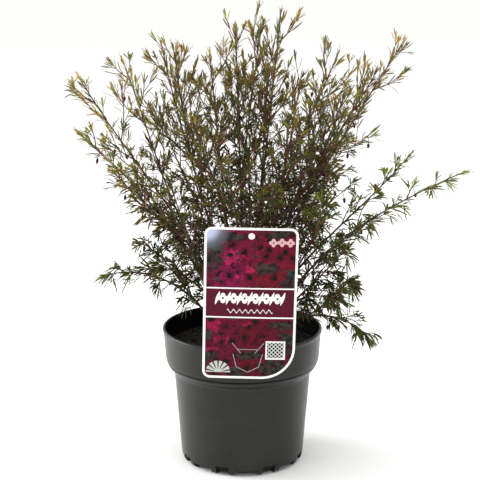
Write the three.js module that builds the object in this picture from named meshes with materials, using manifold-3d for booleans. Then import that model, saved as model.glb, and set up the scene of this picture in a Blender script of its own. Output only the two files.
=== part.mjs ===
// Potted boronia: a fine-leaved shrub in a round nursery pot, with a plant label over the rim.
// Millimetres, +Z up. The origin is the centre of the pot's underside. The label is on the -Y side.

import * as THREE from 'three';
import { mergeVertices } from 'three/addons/utils/BufferGeometryUtils.js';
import Module from 'manifold-3d';

const wasm = await Module();
wasm.setup();

// Driving dimensions
const gap = 0.3;

const pot = {
  height: 146.5,
  rimRadius: 85,
  rimBead: 2.8,
  wall: 1.5,
  floor: 2,
  footRadius: 57.5,
  footFillet: 8,
  bodyRadiusAtGround: 64.9,
  bodyTaper: 0.081,
  collarFoot: 99.3,
  collarRadius: 81.7,
  shoulderRise: 11.5,
  beadHeight: 5,
  rimRound: 2.4,
  notches: [{ width: 14, height: 10, turn: 0.5 }, { width: 25, height: 6, turn: 0 }],
  notchCount: 8,
  notchInner: 50,
  notchAzimuth: THREE.MathUtils.degToRad(-86.7),
  sides: 32,
};

const soil = {
  edgeHeight: 126,
  mound: 4,
  sides: 16,
  ripple: 0.7,
};

const label = {
  width: 94.2,
  height: 162.4,
  thickness: 0.8,
  bottom: 115.9,
  footX: 5.7,
  corner: 8,
  largeCorner: 34,
  roll: THREE.MathUtils.degToRad(1.3),
  lean: THREE.MathUtils.degToRad(4),
  holeRadius: 2.6,
  holeX: 0,
  holeBelowTop: 8.8,
  slit: 0.5,
  hookX: -1,
  hookWidth: 16,
  hookDrop: 17,
  hookReach: 6.3,
  foldAboveRim: 1.5,
  clipShoulder: [15, 5.5],
  clipWaist: [11.5, 19],
  clipDepth: 25,
};

const crown = {
  height: 134,
  rootDepth: 20,
  radius: 27,
  widestLean: THREE.MathUtils.degToRad(60),
};

// Shares run from 0 at the foot of a shoot to 1 at its tip
const leader = {
  footRadius: 1.7,
  tipRadius: 0.7,
  forkedRadius: 0.85,
  sides: 4,
  startHandle: 0.36,
  endHandle: 0.34,
  whorls: [{ first: 0.34, count: 6 }, { first: 0.2, count: 5 }],
  lastWhorl: 0.985,
  rootClearance: 0.035,
  stepPastRoot: 0.04,
  plainRings: [[0.15], [0]],
  secondTurn: 0.9,
};

const sideShoot = {
  orders: [[1, 3], [0, 2, 4]],
  firstShare: 0.24,
  shareStep: 0.15,
  length: 0.3,
  shortening: 0.045,
  variation: 0.4,
  radius: 0.8,
  sides: 3,
  whorls: [0.36, 0.68, 0.98],
  tries: [0, 0.7, -0.7, 1.4, -1.4, 2.1, -2.1, 2.8],
};

const leaf = {
  length: 16,
  variation: 0.35,
  tipLength: 10,
  root: 1.6,
  lowAngle: THREE.MathUtils.degToRad(52),
  tipAngle: THREE.MathUtils.degToRad(26),
  tries: [1, 0.72, 0.5],
  clearance: 0.45,
  whorlTurn: 0.45,
};

// Foliage stays out of the space round the label, the rim and the potting mix
const kept = {
  labelFront: -76,
  labelLeft: -52,
  labelRight: 66,
  labelTop: 283,
  aroundRim: 5,
  rimInside: 78,
  rimOutside: 90,
  aboveSoil: 3,
};

const simplifyTolerance = 0.05;
const goldenAngle = THREE.MathUtils.degToRad(137.5);

// Each leafy stem forks once, at a share of its length, into two leaders that end at these tips.
// rise bends a tip up, or down where it is below zero. lean is how far the stem tips over at once.
const leafyStems = [
  { tips: [[-170, -20, 424], [-129, 40, 434]], fork: 0.3, rise: [0, 0], lean: 0.5 },
  { tips: [[-180, 30, 357], [-138, -50, 332]], fork: 0.25, rise: [-0.3, -0.1], lean: 0.45 },
  { tips: [[-84, -10, 456], [-71, -34, 459]], fork: 0.5, rise: [0.2, 0.2], lean: 0.7 },
  { tips: [[-33, -60, 456], [-51, -110, 399]], fork: 0.35, rise: [0.2, 0.1], lean: 0.6 },
  { tips: [[-7, 20, 472], [18, -20, 475]], fork: 0.35, rise: [0.1, 0.1], lean: 0.6 },
  { tips: [[40, 0, 490], [26, -70, 446]], fork: 0.3, rise: [0.1, 0.1], lean: 1 },
  { tips: [[98, -64, 456], [52, -110, 395]], fork: 0.35, rise: [-0.25, 0.1], lean: 0.35 },
  { tips: [[98, 50, 412], [145, 30, 424]], fork: 0.35, rise: [0.2, 0], lean: 0.6 },
  { tips: [[170, 0, 460], [105, -40, 411]], fork: 0.3, rise: [-0.15, 0.2], lean: 0.5 },
  { tips: [[176, -40, 348], [85, -130, 324]], fork: 0.25, rise: [0, 0.1], lean: 0.55 },
  { tips: [[243, 10, 317], [152, 90, 252]], fork: 0.25, rise: [-0.3, 0.1], lean: 0.5 },
  { tips: [[138, -30, 131], [132, 30, 186]], fork: 0.35, rise: [-1.6, -0.5], lean: 0.45 },
  { tips: [[-157, -20, 203], [-122, 50, 230]], fork: 0.25, rise: [-0.75, -0.4], lean: 0.3 },
  { tips: [[-100, -60, 236], [-75, -120, 342]], fork: 0.25, rise: [-0.4, 0.1], lean: 0.35 },
  { tips: [[-15, -150, 350], [38, -140, 318]], fork: 0.45, rise: [-0.4, -0.5], lean: 0.2 },
  { tips: [[120, 130, 346], [89, 160, 248]], fork: 0.25, rise: [0.2, 0.1], lean: 0.7 },
  { tips: [[-125, 120, 303], [-48, 170, 257]], fork: 0.25, rise: [0.2, 0.1], lean: 0.7 },
  { tips: [[9, 170, 327], [44, 180, 262]], fork: 0.25, rise: [0.1, 0.1], lean: 0.7 },
  { tips: [[-92, 110, 362], [-13, 100, 417]], fork: 0.3, rise: [0.1, 0.2], lean: 0.7 },
  { tips: [[64, 120, 392], [100, 70, 330]], fork: 0.3, rise: [0.2, 0.1], lean: 0.7 },
  { tips: [[114, -70, 262], [110, -80, 196]], fork: 0.3, rise: [0.1, -0.3], lean: 0.6 },
];

const bronzeAbove = 340;

const colours = {
  pot: 0x3a3a38,
  soil: 0x1f1a17,
  label: 0x8c1f4b,
  bronzeFoliage: 0x5f5a2c,
  greenFoliage: 0x47542c,
};

const up = new THREE.Vector3(0, 0, 1);

// A repeatable number from 0 to 1 for each seed
function draw(seed) {
  const value = Math.sin(seed * 12.9898 + 4.1414) * 43758.5453;
  return value - Math.floor(value);
}

function solidOf(geometry) {
  geometry.deleteAttribute('normal');
  geometry.deleteAttribute('uv');
  const merged = mergeVertices(geometry, 1e-4);
  return new wasm.Manifold(new wasm.Mesh({
    numProp: 3,
    vertProperties: new Float32Array(merged.attributes.position.array),
    triVerts: new Uint32Array(merged.index.array),
  }));
}

function geometryOf(solid) {
  const mesh = solid.getMesh();
  const geometry = new THREE.BufferGeometry();
  geometry.setAttribute('position', new THREE.BufferAttribute(mesh.vertProperties, 3));
  geometry.setIndex(new THREE.BufferAttribute(mesh.triVerts, 1));
  return geometry;
}

function meshOf(name, geometry, color, roughness) {
  const flat = geometry.toNonIndexed();
  flat.computeVertexNormals();
  const mesh = new THREE.Mesh(flat, new THREE.MeshStandardMaterial({ color, roughness, metalness: 0 }));
  mesh.name = name;
  return mesh;
}

// The pot

function bodyRadius(height) {
  return pot.bodyRadiusAtGround + pot.bodyTaper * height;
}

const shoulderHeight = pot.collarFoot + pot.shoulderRise;
const beadInner = pot.rimRadius - pot.rimBead;
const rimRoundHeight = pot.height - pot.rimRound;

function turned(profile, sides) {
  const points = profile.map(([radius, height]) => new THREE.Vector2(radius, height));
  const geometry = new THREE.LatheGeometry(points, sides);
  geometry.rotateX(Math.PI / 2);
  return geometry;
}

// The profile runs up the outside, over the rim and down the inside.
// Round the foot, tall drain notches take turns with low, wide ones.
function potSolid() {
  const fillet = pot.footFillet;
  const profile = [
    [0, 0],
    [pot.footRadius, 0],
    [bodyRadius(fillet) - 0.3 * fillet, 0.32 * fillet],
    [bodyRadius(fillet), fillet],
    [bodyRadius(pot.collarFoot), pot.collarFoot],
    [pot.collarRadius - 3.5, pot.collarFoot + 5.6],
    [pot.collarRadius, shoulderHeight],
    [pot.rimRadius - 0.9, pot.height - pot.beadHeight],
    [pot.rimRadius, rimRoundHeight],
    [pot.rimRadius - 0.8, pot.height],
    [beadInner + 0.6, pot.height],
    [beadInner, rimRoundHeight],
    [pot.collarRadius - pot.wall, shoulderHeight + 0.4],
    [pot.collarRadius - 5, pot.collarFoot + 6.8],
    [bodyRadius(pot.collarFoot) - pot.wall, pot.collarFoot + 1],
    [bodyRadius(fillet) - pot.wall, fillet + 0.6],
    [pot.footRadius - 0.5, pot.floor],
    [0, pot.floor],
  ];
  let solid = solidOf(turned(profile, pot.sides));
  for (const notch of pot.notches) {
    for (let i = 0; i < pot.notchCount; i += 1) {
      const depth = bodyRadius(notch.height) + 1 - pot.notchInner;
      const cut = new THREE.BoxGeometry(depth, notch.width, 2 * notch.height);
      cut.translate(pot.notchInner + depth / 2, 0, 0);
      cut.rotateZ(pot.notchAzimuth + (2 * Math.PI * (i + notch.turn)) / pot.notchCount);
      solid = solid.subtract(solidOf(cut));
    }
  }
  return solid;
}

// The potting mix: it follows the inside of the pot, and its top is a low uneven mound

function collarInside(height) {
  const share = (height - shoulderHeight) / (rimRoundHeight - shoulderHeight);
  return THREE.MathUtils.lerp(pot.collarRadius - pot.wall, beadInner, share);
}

function soilSolid(stems) {
  const low = pot.floor + gap;
  const fillet = pot.footFillet;
  const profile = [
    [0, low],
    [pot.footRadius - 2, low],
    [bodyRadius(fillet) - pot.wall - gap, fillet + 1.4],
    [bodyRadius(pot.collarFoot) - pot.wall - gap, pot.collarFoot + 1.2],
    [pot.collarRadius - 5 - gap, pot.collarFoot + 7.2],
    [pot.collarRadius - pot.wall - gap, shoulderHeight + 0.9],
    [collarInside(soil.edgeHeight) - gap, soil.edgeHeight],
    [58, soil.edgeHeight + 0.5 * soil.mound],
    [30, soil.edgeHeight + 0.85 * soil.mound],
    [0, soil.edgeHeight + soil.mound],
  ];
  const geometry = turned(profile, soil.sides);
  const position = geometry.attributes.position;
  for (let i = 0; i < position.count; i += 1) {
    const x = position.getX(i);
    const y = position.getY(i);
    const z = position.getZ(i);
    if (z > soil.edgeHeight + 1) {
      const wave = Math.sin(x * 0.13 + 1) + Math.cos(y * 0.17 + x * 0.05);
      position.setZ(i, z + soil.ripple * wave);
    }
  }
  let solid = solidOf(geometry);
  for (const stem of stems) {
    const radius = leader.footRadius + gap * Math.SQRT2;
    const hole = new THREE.CylinderGeometry(radius, radius, 2 * (crown.rootDepth + gap), 4);
    hole.rotateX(Math.PI / 2);
    hole.rotateZ(stem.azimuth);
    hole.translate(stem.base.x, stem.base.y, crown.height);
    solid = solid.subtract(solidOf(hole));
  }
  return solid;
}

// The label: one sheet with a punched hole and a slit clip outline, and a hook behind it

function labelOutline() {
  const half = label.width / 2;
  const small = label.corner;
  const large = label.largeCorner;
  const outline = new THREE.Shape();
  outline.moveTo(-half + small, 0);
  outline.lineTo(half - large, 0);
  outline.absarc(half - large, large, large, -Math.PI / 2, 0, false);
  outline.lineTo(half, label.height - small);
  outline.absarc(half - small, label.height - small, small, 0, Math.PI / 2, false);
  outline.lineTo(-half + small, label.height);
  outline.absarc(-half + small, label.height - small, small, Math.PI / 2, Math.PI, false);
  outline.lineTo(-half, small);
  outline.absarc(-half + small, small, small, Math.PI, 1.5 * Math.PI, false);
  return outline;
}

// A slit runs along its points and back again, its own width aside
function slitAlong(points) {
  const path = new THREE.Path();
  const there = points.map(([x, y]) => new THREE.Vector2(x, y));
  const back = points.map(([x, y]) => new THREE.Vector2(x, y + label.slit)).reverse();
  path.setFromPoints([...there, ...back]);
  return path;
}

function labelSolid() {
  const outline = labelOutline();
  const holeHeight = label.height - label.holeBelowTop;
  const hole = new THREE.Path();
  hole.absarc(label.holeX, holeHeight, label.holeRadius, 0, 2 * Math.PI, true);
  const fold = pot.height + label.foldAboveRim - label.bottom;
  const [shoulder, shoulderDrop] = label.clipShoulder;
  const [waist, waistDrop] = label.clipWaist;
  const clip = slitAlong([
    [label.hookX - shoulder, fold - shoulderDrop],
    [label.hookX - waist, fold - waistDrop],
    [label.hookX, fold - label.clipDepth],
    [label.hookX + waist, fold - waistDrop],
    [label.hookX + shoulder, fold - shoulderDrop],
  ]);
  outline.holes.push(hole, clip);
  const sheet = new THREE.ExtrudeGeometry(outline, {
    depth: label.thickness,
    bevelEnabled: false,
    curveSegments: 5,
  });
  sheet.rotateX(Math.PI / 2);

  const seat = pot.height + 1.5 * gap - label.bottom;
  const strap = label.thickness;
  const reach = label.hookReach;
  const bend = new THREE.Shape([
    new THREE.Vector2(-0.5 * strap, seat),
    new THREE.Vector2(reach - strap, seat),
    new THREE.Vector2(reach - strap, seat - label.hookDrop),
    new THREE.Vector2(reach, seat - label.hookDrop),
    new THREE.Vector2(reach, seat + strap),
    new THREE.Vector2(-0.5 * strap, seat + strap),
  ]);
  const hook = new THREE.ExtrudeGeometry(bend, { depth: label.hookWidth, bevelEnabled: false });
  hook.rotateX(Math.PI / 2);
  hook.rotateZ(Math.PI / 2);
  hook.translate(label.hookX - label.hookWidth / 2, 0, 0);
  return solidOf(sheet).add(solidOf(hook));
}

// Leafy stems

// Frames along a shoot keep one reference direction, level and square to the way it leans
function frameAt(curve, share, side) {
  const point = curve.getPoint(share);
  const tangent = curve.getTangent(share).normalize();
  const across = side.clone().addScaledVector(tangent, -side.dot(tangent)).normalize();
  const other = tangent.clone().cross(across);
  return { point, tangent, across, other };
}

function outwardAt(frame, turn) {
  const outward = frame.across.clone().multiplyScalar(Math.cos(turn));
  return outward.addScaledVector(frame.other, Math.sin(turn));
}

function leaderCurve(from, startDirection, tip, rise) {
  const chord = tip.clone().sub(from);
  const span = chord.length();
  const endDirection = chord.clone().normalize().addScaledVector(up, rise).normalize();
  const end = tip.clone().addScaledVector(endDirection, -leaf.tipLength);
  return new THREE.CubicBezierCurve3(
    from,
    from.clone().addScaledVector(startDirection, leader.startHandle * span),
    end.clone().addScaledVector(endDirection, -leader.endHandle * span),
    end,
  );
}

// The two leaders of a stem: the first runs from the crown, the second leaves it at the fork
function stemOf(plan, index) {
  const tips = plan.tips.map((tip) => new THREE.Vector3(...tip));
  const middle = tips[0].clone().add(tips[1]).multiplyScalar(0.5);
  const azimuth = Math.atan2(middle.y, middle.x);
  const inclination = Math.atan2(Math.hypot(middle.x, middle.y), middle.z - crown.height);
  const out = new THREE.Vector3(Math.cos(azimuth), Math.sin(azimuth), 0);
  const side = new THREE.Vector3(-Math.sin(azimuth), Math.cos(azimuth), 0);
  const base = out.clone().multiplyScalar(crown.radius * Math.min(1, inclination / crown.widestLean));
  base.z = crown.height;
  const lean = inclination * plan.lean;
  const startDirection = out.clone().multiplyScalar(Math.sin(lean)).addScaledVector(up, Math.cos(lean));
  const first = leaderCurve(base, startDirection, tips[0], plan.rise[0]);
  const forkDirection = first.getTangent(plan.fork);
  const second = leaderCurve(first.getPoint(plan.fork), forkDirection, tips[1], plan.rise[1]);
  const forkRadius = THREE.MathUtils.lerp(leader.footRadius, leader.tipRadius, plan.fork);
  return {
    index,
    base,
    azimuth,
    fork: plan.fork,
    shoots: [
      { curve: first, side, footRadius: leader.footRadius, span: first.getLength() },
      { curve: second, side, footRadius: leader.forkedRadius * forkRadius, span: second.getLength() },
    ],
  };
}

function sideShootShare(order) {
  return sideShoot.firstShare + sideShoot.shareStep * order;
}

// Side shoots leave a leader by turns of the golden angle, shorter towards its tip
function sideShootFrom(parent, order, seed, extraTurn) {
  const frame = frameAt(parent.curve, sideShootShare(order), parent.side);
  const outward = outwardAt(frame, goldenAngle * order + 1.7 * seed + extraTurn);
  const vary = 1 + sideShoot.variation * (draw(seed + 0.5) - 0.5);
  const length = parent.span * (sideShoot.length - sideShoot.shortening * order) * vary;
  const start = frame.tangent.clone().addScaledVector(outward, 1.03).normalize();
  const end = frame.tangent.clone().addScaledVector(outward, 0.35).addScaledVector(up, 0.25).normalize();
  const bend = frame.point.clone().addScaledVector(start, 0.5 * length);
  const tip = bend.clone().addScaledVector(start, 0.05 * length).addScaledVector(end, 0.45 * length);
  const curve = new THREE.QuadraticBezierCurve3(frame.point, bend, tip);
  return { curve, side: frame.across, footRadius: sideShoot.radius, span: curve.getLength() };
}

// Whorl shares run evenly to the tip, and step past the roots of the side shoots
function whorlShares({ first, count }, roots) {
  const shares = [];
  for (let i = 0; i < count; i += 1) {
    const share = THREE.MathUtils.lerp(first, leader.lastWhorl, i / (count - 1));
    const blocked = roots.some((root) => Math.abs(root - share) < leader.rootClearance);
    shares.push(blocked ? share + leader.stepPastRoot : share);
  }
  return shares;
}

// Stations are the rings of a rod, from its foot up, and those of a whorl carry leaves
function stationsOf(shoot, whorls, plain, seed) {
  return [...whorls, ...plain].sort((p, q) => p - q).map((share, i) => ({
    ...frameAt(shoot.curve, share, shoot.side),
    share,
    whorl: whorls.includes(share),
    turn: seed + leaf.whorlTurn * i,
    radius: THREE.MathUtils.lerp(shoot.footRadius, leader.tipRadius, share),
  }));
}

// The first leader's rod goes straight down into its hole in the potting mix
function leaderRods(stem, number) {
  return stem.shoots.map((shoot, i) => {
    const roots = sideShoot.orders[i].map(sideShootShare);
    const whorls = whorlShares(leader.whorls[i], i === 0 ? [...roots, stem.fork] : roots);
    const stations = stationsOf(shoot, whorls, leader.plainRings[i], leader.secondTurn * i);
    if (i === 0) {
      const foot = { ...stations[0], point: stem.base, tangent: up, turn: Math.PI / 4 };
      foot.across = shoot.side;
      foot.radius = leader.footRadius;
      const root = { ...foot, point: stem.base.clone().addScaledVector(up, -crown.rootDepth) };
      stations.unshift(root, foot);
    }
    return { number: number + i, sides: leader.sides, side: shoot.side, stations };
  });
}

// A rod as straight lengths with a radius, for measuring clearances
function lengthsOf(rod) {
  return rod.stations.slice(1).map((station, i) => ({
    from: rod.stations[i].point,
    to: station.point,
    radius: rod.stations[i].radius,
    rod: rod.number,
  }));
}

function distanceBetween(p, q) {
  const u = p.to.clone().sub(p.from);
  const v = q.to.clone().sub(q.from);
  const w = p.from.clone().sub(q.from);
  const [a, b, c, d, e] = [u.dot(u), u.dot(v), v.dot(v), u.dot(w), v.dot(w)];
  const clamp = THREE.MathUtils.clamp;
  const denominator = a * c - b * b;
  let s = denominator > 1e-9 ? clamp((b * e - c * d) / denominator, 0, 1) : 0;
  const t = clamp((b * s + e) / c, 0, 1);
  s = clamp((b * t - d) / a, 0, 1);
  return w.addScaledVector(u, s).addScaledVector(v, -t).length();
}

function isKeptFree(point) {
  const radius = Math.hypot(point.x, point.y);
  const behindLabel = point.y < kept.labelFront && point.z < kept.labelTop;
  const byLabel = behindLabel && point.x > kept.labelLeft && point.x < kept.labelRight;
  const byRim = radius < kept.rimOutside && point.z < pot.height + kept.aroundRim;
  const inPot = radius < kept.rimInside;
  const bySoil = point.z < soil.edgeHeight + soil.mound + kept.aboveSoil;
  return byLabel || (inPot ? bySoil : byRim);
}

// A piece is measured against every rod and leaf except those of the rod that it grows from
function isClear(piece, placed, passing) {
  const middle = piece.from.clone().add(piece.to).multiplyScalar(0.5);
  if (isKeptFree(piece.to) || isKeptFree(middle)) {
    return false;
  }
  return placed.every((other) => {
    const room = piece.radius + other.radius + leaf.clearance;
    return other.rod === passing || distanceBetween(piece, other) > room;
  });
}

// A side shoot turns round its leader until it comes clear of its neighbours
function clearSideShoot(stem, leaderIndex, order, number, placed) {
  const seed = stem.index * 31 + leaderIndex * 7 + order;
  for (const extraTurn of sideShoot.tries) {
    const shoot = sideShootFrom(stem.shoots[leaderIndex], order, seed, extraTurn);
    const stations = stationsOf(shoot, sideShoot.whorls, [0], seed);
    const rod = { number, sides: sideShoot.sides, side: shoot.side, stations };
    const passing = stem.rods[leaderIndex].number;
    if (lengthsOf(rod).every((piece) => isClear(piece, placed, passing))) {
      return rod;
    }
  }
  return null;
}

function leafTip(station, turn, length) {
  const angle = THREE.MathUtils.lerp(leaf.lowAngle, leaf.tipAngle, station.share ** 2);
  const tip = station.point.clone().addScaledVector(station.tangent, length * Math.cos(angle));
  return tip.addScaledVector(outwardAt(station, turn), length * Math.sin(angle));
}

// A leaf that would come too near to another rod or leaf is shortened, and then left out
function growWhorls(rod, placed) {
  for (const station of rod.stations.filter((each) => each.whorl)) {
    station.leaves = [];
    for (let k = 0; k < rod.sides; k += 1) {
      const turn = station.turn + (2 * Math.PI * k) / rod.sides;
      const vary = 1 + leaf.variation * (draw(rod.number * 7 + station.share * 90 + k) - 0.5);
      const pieces = leaf.tries.map((share) => ({
        from: station.point,
        to: leafTip(station, turn, share * vary * leaf.length),
        radius: 0.4 * leaf.root,
        rod: rod.number,
      }));
      const fitting = pieces.find((piece) => isClear(piece, placed, rod.number));
      station.leaves.push(fitting ? fitting.to : null);
      if (fitting) {
        placed.push(fitting);
      }
    }
  }
}

function growStems() {
  const stems = leafyStems.map(stemOf);
  const placed = [];
  let rodCount = 0;
  for (const stem of stems) {
    stem.rods = leaderRods(stem, rodCount);
    rodCount += stem.rods.length;
    placed.push(...stem.rods.flatMap(lengthsOf));
  }
  for (const stem of stems) {
    sideShoot.orders.forEach((orders, leaderIndex) => {
      for (const order of orders) {
        const rod = clearSideShoot(stem, leaderIndex, order, rodCount, placed);
        if (rod) {
          rodCount += 1;
          stem.rods.push(rod);
          placed.push(...lengthsOf(rod));
        }
      }
    });
  }
  for (const rod of stems.flatMap((stem) => stem.rods)) {
    growWhorls(rod, placed);
  }
  return stems;
}

function ringOf(station, side, sides, shift) {
  const centre = station.point.clone().addScaledVector(station.tangent, shift);
  const across = side.clone().addScaledVector(station.tangent, -side.dot(station.tangent)).normalize();
  const frame = { across, other: station.tangent.clone().cross(across) };
  const ring = [];
  for (let k = 0; k < sides; k += 1) {
    const turn = station.turn + (2 * Math.PI * (k - 0.5)) / sides;
    ring.push(centre.clone().addScaledVector(outwardAt(frame, turn), station.radius));
  }
  return ring;
}

// A tapered rod along a shoot. Each whorl is a short band of the rod whose faces are drawn out
// into pointed leaves. The last point closes the rod and is its end leaf.
function rodSolid({ stations, side, sides }) {
  const points = [];
  const bands = [];
  for (const station of stations) {
    const half = station.whorl ? 0.5 * leaf.root : 0;
    if (station.whorl) {
      points.push(...ringOf(station, side, sides, -half));
      bands.push(null);
    }
    points.push(...ringOf(station, side, sides, half));
    bands.push(station.leaves);
  }
  const last = stations[stations.length - 1];
  const apex = points.push(last.point.clone().addScaledVector(last.tangent, leaf.tipLength)) - 1;
  const triangles = [];
  for (let k = 0; k < sides; k += 1) {
    const next = (k + 1) % sides;
    for (let i = 1; i < bands.length; i += 1) {
      const a = (i - 1) * sides + k;
      const b = (i - 1) * sides + next;
      const [c, d] = [b + sides, a + sides];
      const tip = bands[i] ? bands[i][k] : null;
      if (tip) {
        const t = points.push(tip) - 1;
        triangles.push(a, b, t, b, c, t, c, d, t, d, a, t);
      } else {
        triangles.push(a, b, c, a, c, d);
      }
    }
    triangles.push(apex - sides + k, apex - sides + next, apex);
    if (k > 0 && k < sides - 1) {
      triangles.push(0, k + 1, k);
    }
  }
  return new wasm.Manifold(new wasm.Mesh({
    numProp: 3,
    vertProperties: new Float32Array(points.flatMap((point) => point.toArray())),
    triVerts: new Uint32Array(triangles),
  }));
}

// Assembly

const group = new THREE.Group();
const stems = growStems();
group.add(meshOf('pot', geometryOf(potSolid()), colours.pot, 0.45));
group.add(meshOf('soil', geometryOf(soilSolid(stems)), colours.soil, 0.95));

// The label leans on the rim, where its back is a gap away from the bead
const labelMesh = meshOf('label', geometryOf(labelSolid()), colours.label, 0.4);
const hookRise = pot.height - label.bottom;
labelMesh.position.set(label.footX, hookRise * Math.sin(label.lean) - pot.rimRadius - gap, label.bottom);
labelMesh.rotation.set(label.lean, label.roll, 0);
group.add(labelMesh);

for (const stem of stems) {
  const solid = wasm.Manifold.union(stem.rods.map(rodSolid)).simplify(simplifyTolerance);
  const upright = stem.shoots[0].curve.getPoint(1).z > bronzeAbove;
  const color = upright ? colours.bronzeFoliage : colours.greenFoliage;
  const name = `leafy_stem_${String(stem.index + 1).padStart(2, '0')}`;
  group.add(meshOf(name, geometryOf(solid), color, 0.7));
}

export default group;
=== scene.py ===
import math

import bmesh
import bpy
import numpy as np
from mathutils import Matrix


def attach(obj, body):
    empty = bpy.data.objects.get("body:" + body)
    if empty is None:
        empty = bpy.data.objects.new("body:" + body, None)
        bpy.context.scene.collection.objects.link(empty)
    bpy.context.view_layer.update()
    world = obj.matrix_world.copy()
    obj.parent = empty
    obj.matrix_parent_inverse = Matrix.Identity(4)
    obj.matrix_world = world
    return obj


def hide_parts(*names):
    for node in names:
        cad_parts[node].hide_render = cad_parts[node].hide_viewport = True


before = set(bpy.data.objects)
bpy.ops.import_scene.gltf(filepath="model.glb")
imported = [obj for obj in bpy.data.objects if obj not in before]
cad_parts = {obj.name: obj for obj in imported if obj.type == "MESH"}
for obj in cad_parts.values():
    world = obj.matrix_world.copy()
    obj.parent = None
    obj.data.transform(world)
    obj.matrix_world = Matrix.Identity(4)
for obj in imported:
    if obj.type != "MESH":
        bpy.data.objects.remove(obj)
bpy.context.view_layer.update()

# Potted boronia. Lengths are in millimetres and become metres as each mesh is made.
mm = 0.001
up = np.array([0.0, 0.0, 1.0])


# Small helpers for arrays and meshes

def unit(vectors):
    # each vector divided by its own length
    return vectors / np.maximum(np.linalg.norm(vectors, axis=-1, keepdims=True), 1e-9)


def smooth(low, high, values):
    # 0 below low, 1 above high and 3s^2 - 2s^3 between, s being the share of the way
    share = np.clip((values - low) / (high - low), 0.0, 1.0)
    return share * share * (3.0 - 2.0 * share)


def lerp(start, end, share):
    return start + (end - start) * share


def quadGrid(rows, columns, closed):
    # four neighbours of a grid make each face, and a closed grid's last column meets its first
    row, column = np.meshgrid(np.arange(rows - 1), np.arange(columns - (not closed)), indexing="ij")
    after = (column + 1) % columns
    corners = [row * columns + column, row * columns + after,
               (row + 1) * columns + after, (row + 1) * columns + column]
    return np.stack(corners, axis=-1).reshape(-1, 4)


def makeMesh(name, parts, materials):
    # parts follow each other in one mesh; each has points, faces, a material number and point values
    mesh = bpy.data.meshes.new(name)
    points = np.concatenate([part["points"] for part in parts])
    first = np.cumsum([0] + [len(part["points"]) for part in parts])
    loops, sizes, slots = [], [], []
    for part, start in zip(parts, first):
        for faces in part["faces"]:
            loops.append((faces + start).ravel())
            sizes.append(np.full(len(faces), faces.shape[1]))
            slots.append(np.full(len(faces), part.get("material", 0)))
    loops, sizes, slots = (np.concatenate(each).astype(np.int32) for each in (loops, sizes, slots))
    starts = (np.cumsum(sizes) - sizes).astype(np.int32)
    mesh.vertices.add(len(points))
    mesh.loops.add(len(loops))
    mesh.polygons.add(len(sizes))
    setPlaces(mesh, points)
    mesh.loops.foreach_set("vertex_index", loops)
    mesh.polygons.foreach_set("loop_start", starts)
    mesh.polygons.foreach_set("material_index", slots)
    mesh.polygons.foreach_set("use_smooth", np.ones(len(sizes), dtype=bool))
    for valueName in parts[0].get("values", {}):
        attribute = mesh.attributes.new(valueName, "FLOAT", "POINT")
        values = np.concatenate([part["values"][valueName] for part in parts])
        attribute.data.foreach_set("value", values.astype(np.float32))
    for material in materials:
        mesh.materials.append(material)
    mesh.update(calc_edges=True)
    mesh.validate()
    return mesh


def makePiece(name, mesh, node):
    # one object at the origin, in place of its CAD node
    piece = bpy.data.objects.new(name, mesh)
    bpy.context.scene.collection.objects.link(piece)
    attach(piece, "root")
    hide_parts(node)
    return piece


def applyModifiers(piece):
    # the evaluated mesh takes the place of the one that carries modifiers
    depsgraph = bpy.context.evaluated_depsgraph_get()
    mesh = bpy.data.meshes.new_from_object(piece.evaluated_get(depsgraph))
    piece.modifiers.clear()
    piece.data = mesh


def setPlaces(mesh, points):
    mesh.vertices.foreach_set("co", (points * mm).astype(np.float32).ravel())


def readValues(elements, name, width, kind=np.float32):
    # one property of every element, as the rows of an array
    values = np.empty(width * len(elements), dtype=kind)
    elements.foreach_get(name, values)
    return values.reshape(-1, width)


# Small helpers for shader nodes

class Wire:
    # a shader value that is added, multiplied and so on like a number, each time by a Math node

    def __init__(self, socket):
        self.socket, self.tree = socket, socket.id_data

    def __add__(self, other):
        return calc("ADD", self, other)

    def __sub__(self, other):
        return calc("SUBTRACT", self, other)

    def __rsub__(self, other):
        return calc("SUBTRACT", other, self)

    def __mul__(self, other):
        return calc("MULTIPLY", self, other)

    def __truediv__(self, other):
        return calc("DIVIDE", self, other)

    def __rtruediv__(self, other):
        return calc("DIVIDE", other, self)

    def __pow__(self, other):
        return calc("POWER", self, other)

    def __abs__(self):
        return calc("ABSOLUTE", self)


def feed(node, values):
    # a wire is linked to its socket, and anything else becomes the socket's value
    for name, value in values.items():
        socket = node.inputs[name]
        if isinstance(value, Wire):
            value.tree.links.new(value.socket, socket)
        elif socket.type == "RGBA":
            socket.default_value = (*value, 1.0)
        else:
            socket.default_value = value


def addNode(tree, kind, inputs=None, **settings):
    made = tree.nodes.new("ShaderNode" + kind)
    for name, value in settings.items():
        setattr(made, name, value)
    feed(made, inputs or {})
    return made


def output(node, name=0):
    return Wire(node.outputs[name])


def treeOf(values):
    # the node tree of the first wire among some values
    return next(value.tree for value in values if isinstance(value, Wire))


def calc(operation, *values, clamp=False):
    inputs = dict(enumerate(values))
    return output(addNode(treeOf(values), "Math", inputs, operation=operation, use_clamp=clamp))


def calcVector(operation, inputs, name=0):
    # the output is a vector, or for a length, a distance or a dot product the one named Value
    return output(addNode(treeOf(inputs.values()), "VectorMath", inputs, operation=operation), name)


def hypotenuse(first, second):
    # sqrt(a^2 + b^2)
    return calc("SQRT", first ** 2.0 + second ** 2.0)


def mixColours(factor, first, second, blend="MIX"):
    inputs = {0: factor, 6: first, 7: second}
    return output(addNode(treeOf(inputs.values()), "Mix", inputs, data_type="RGBA", blend_type=blend), 2)


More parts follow.
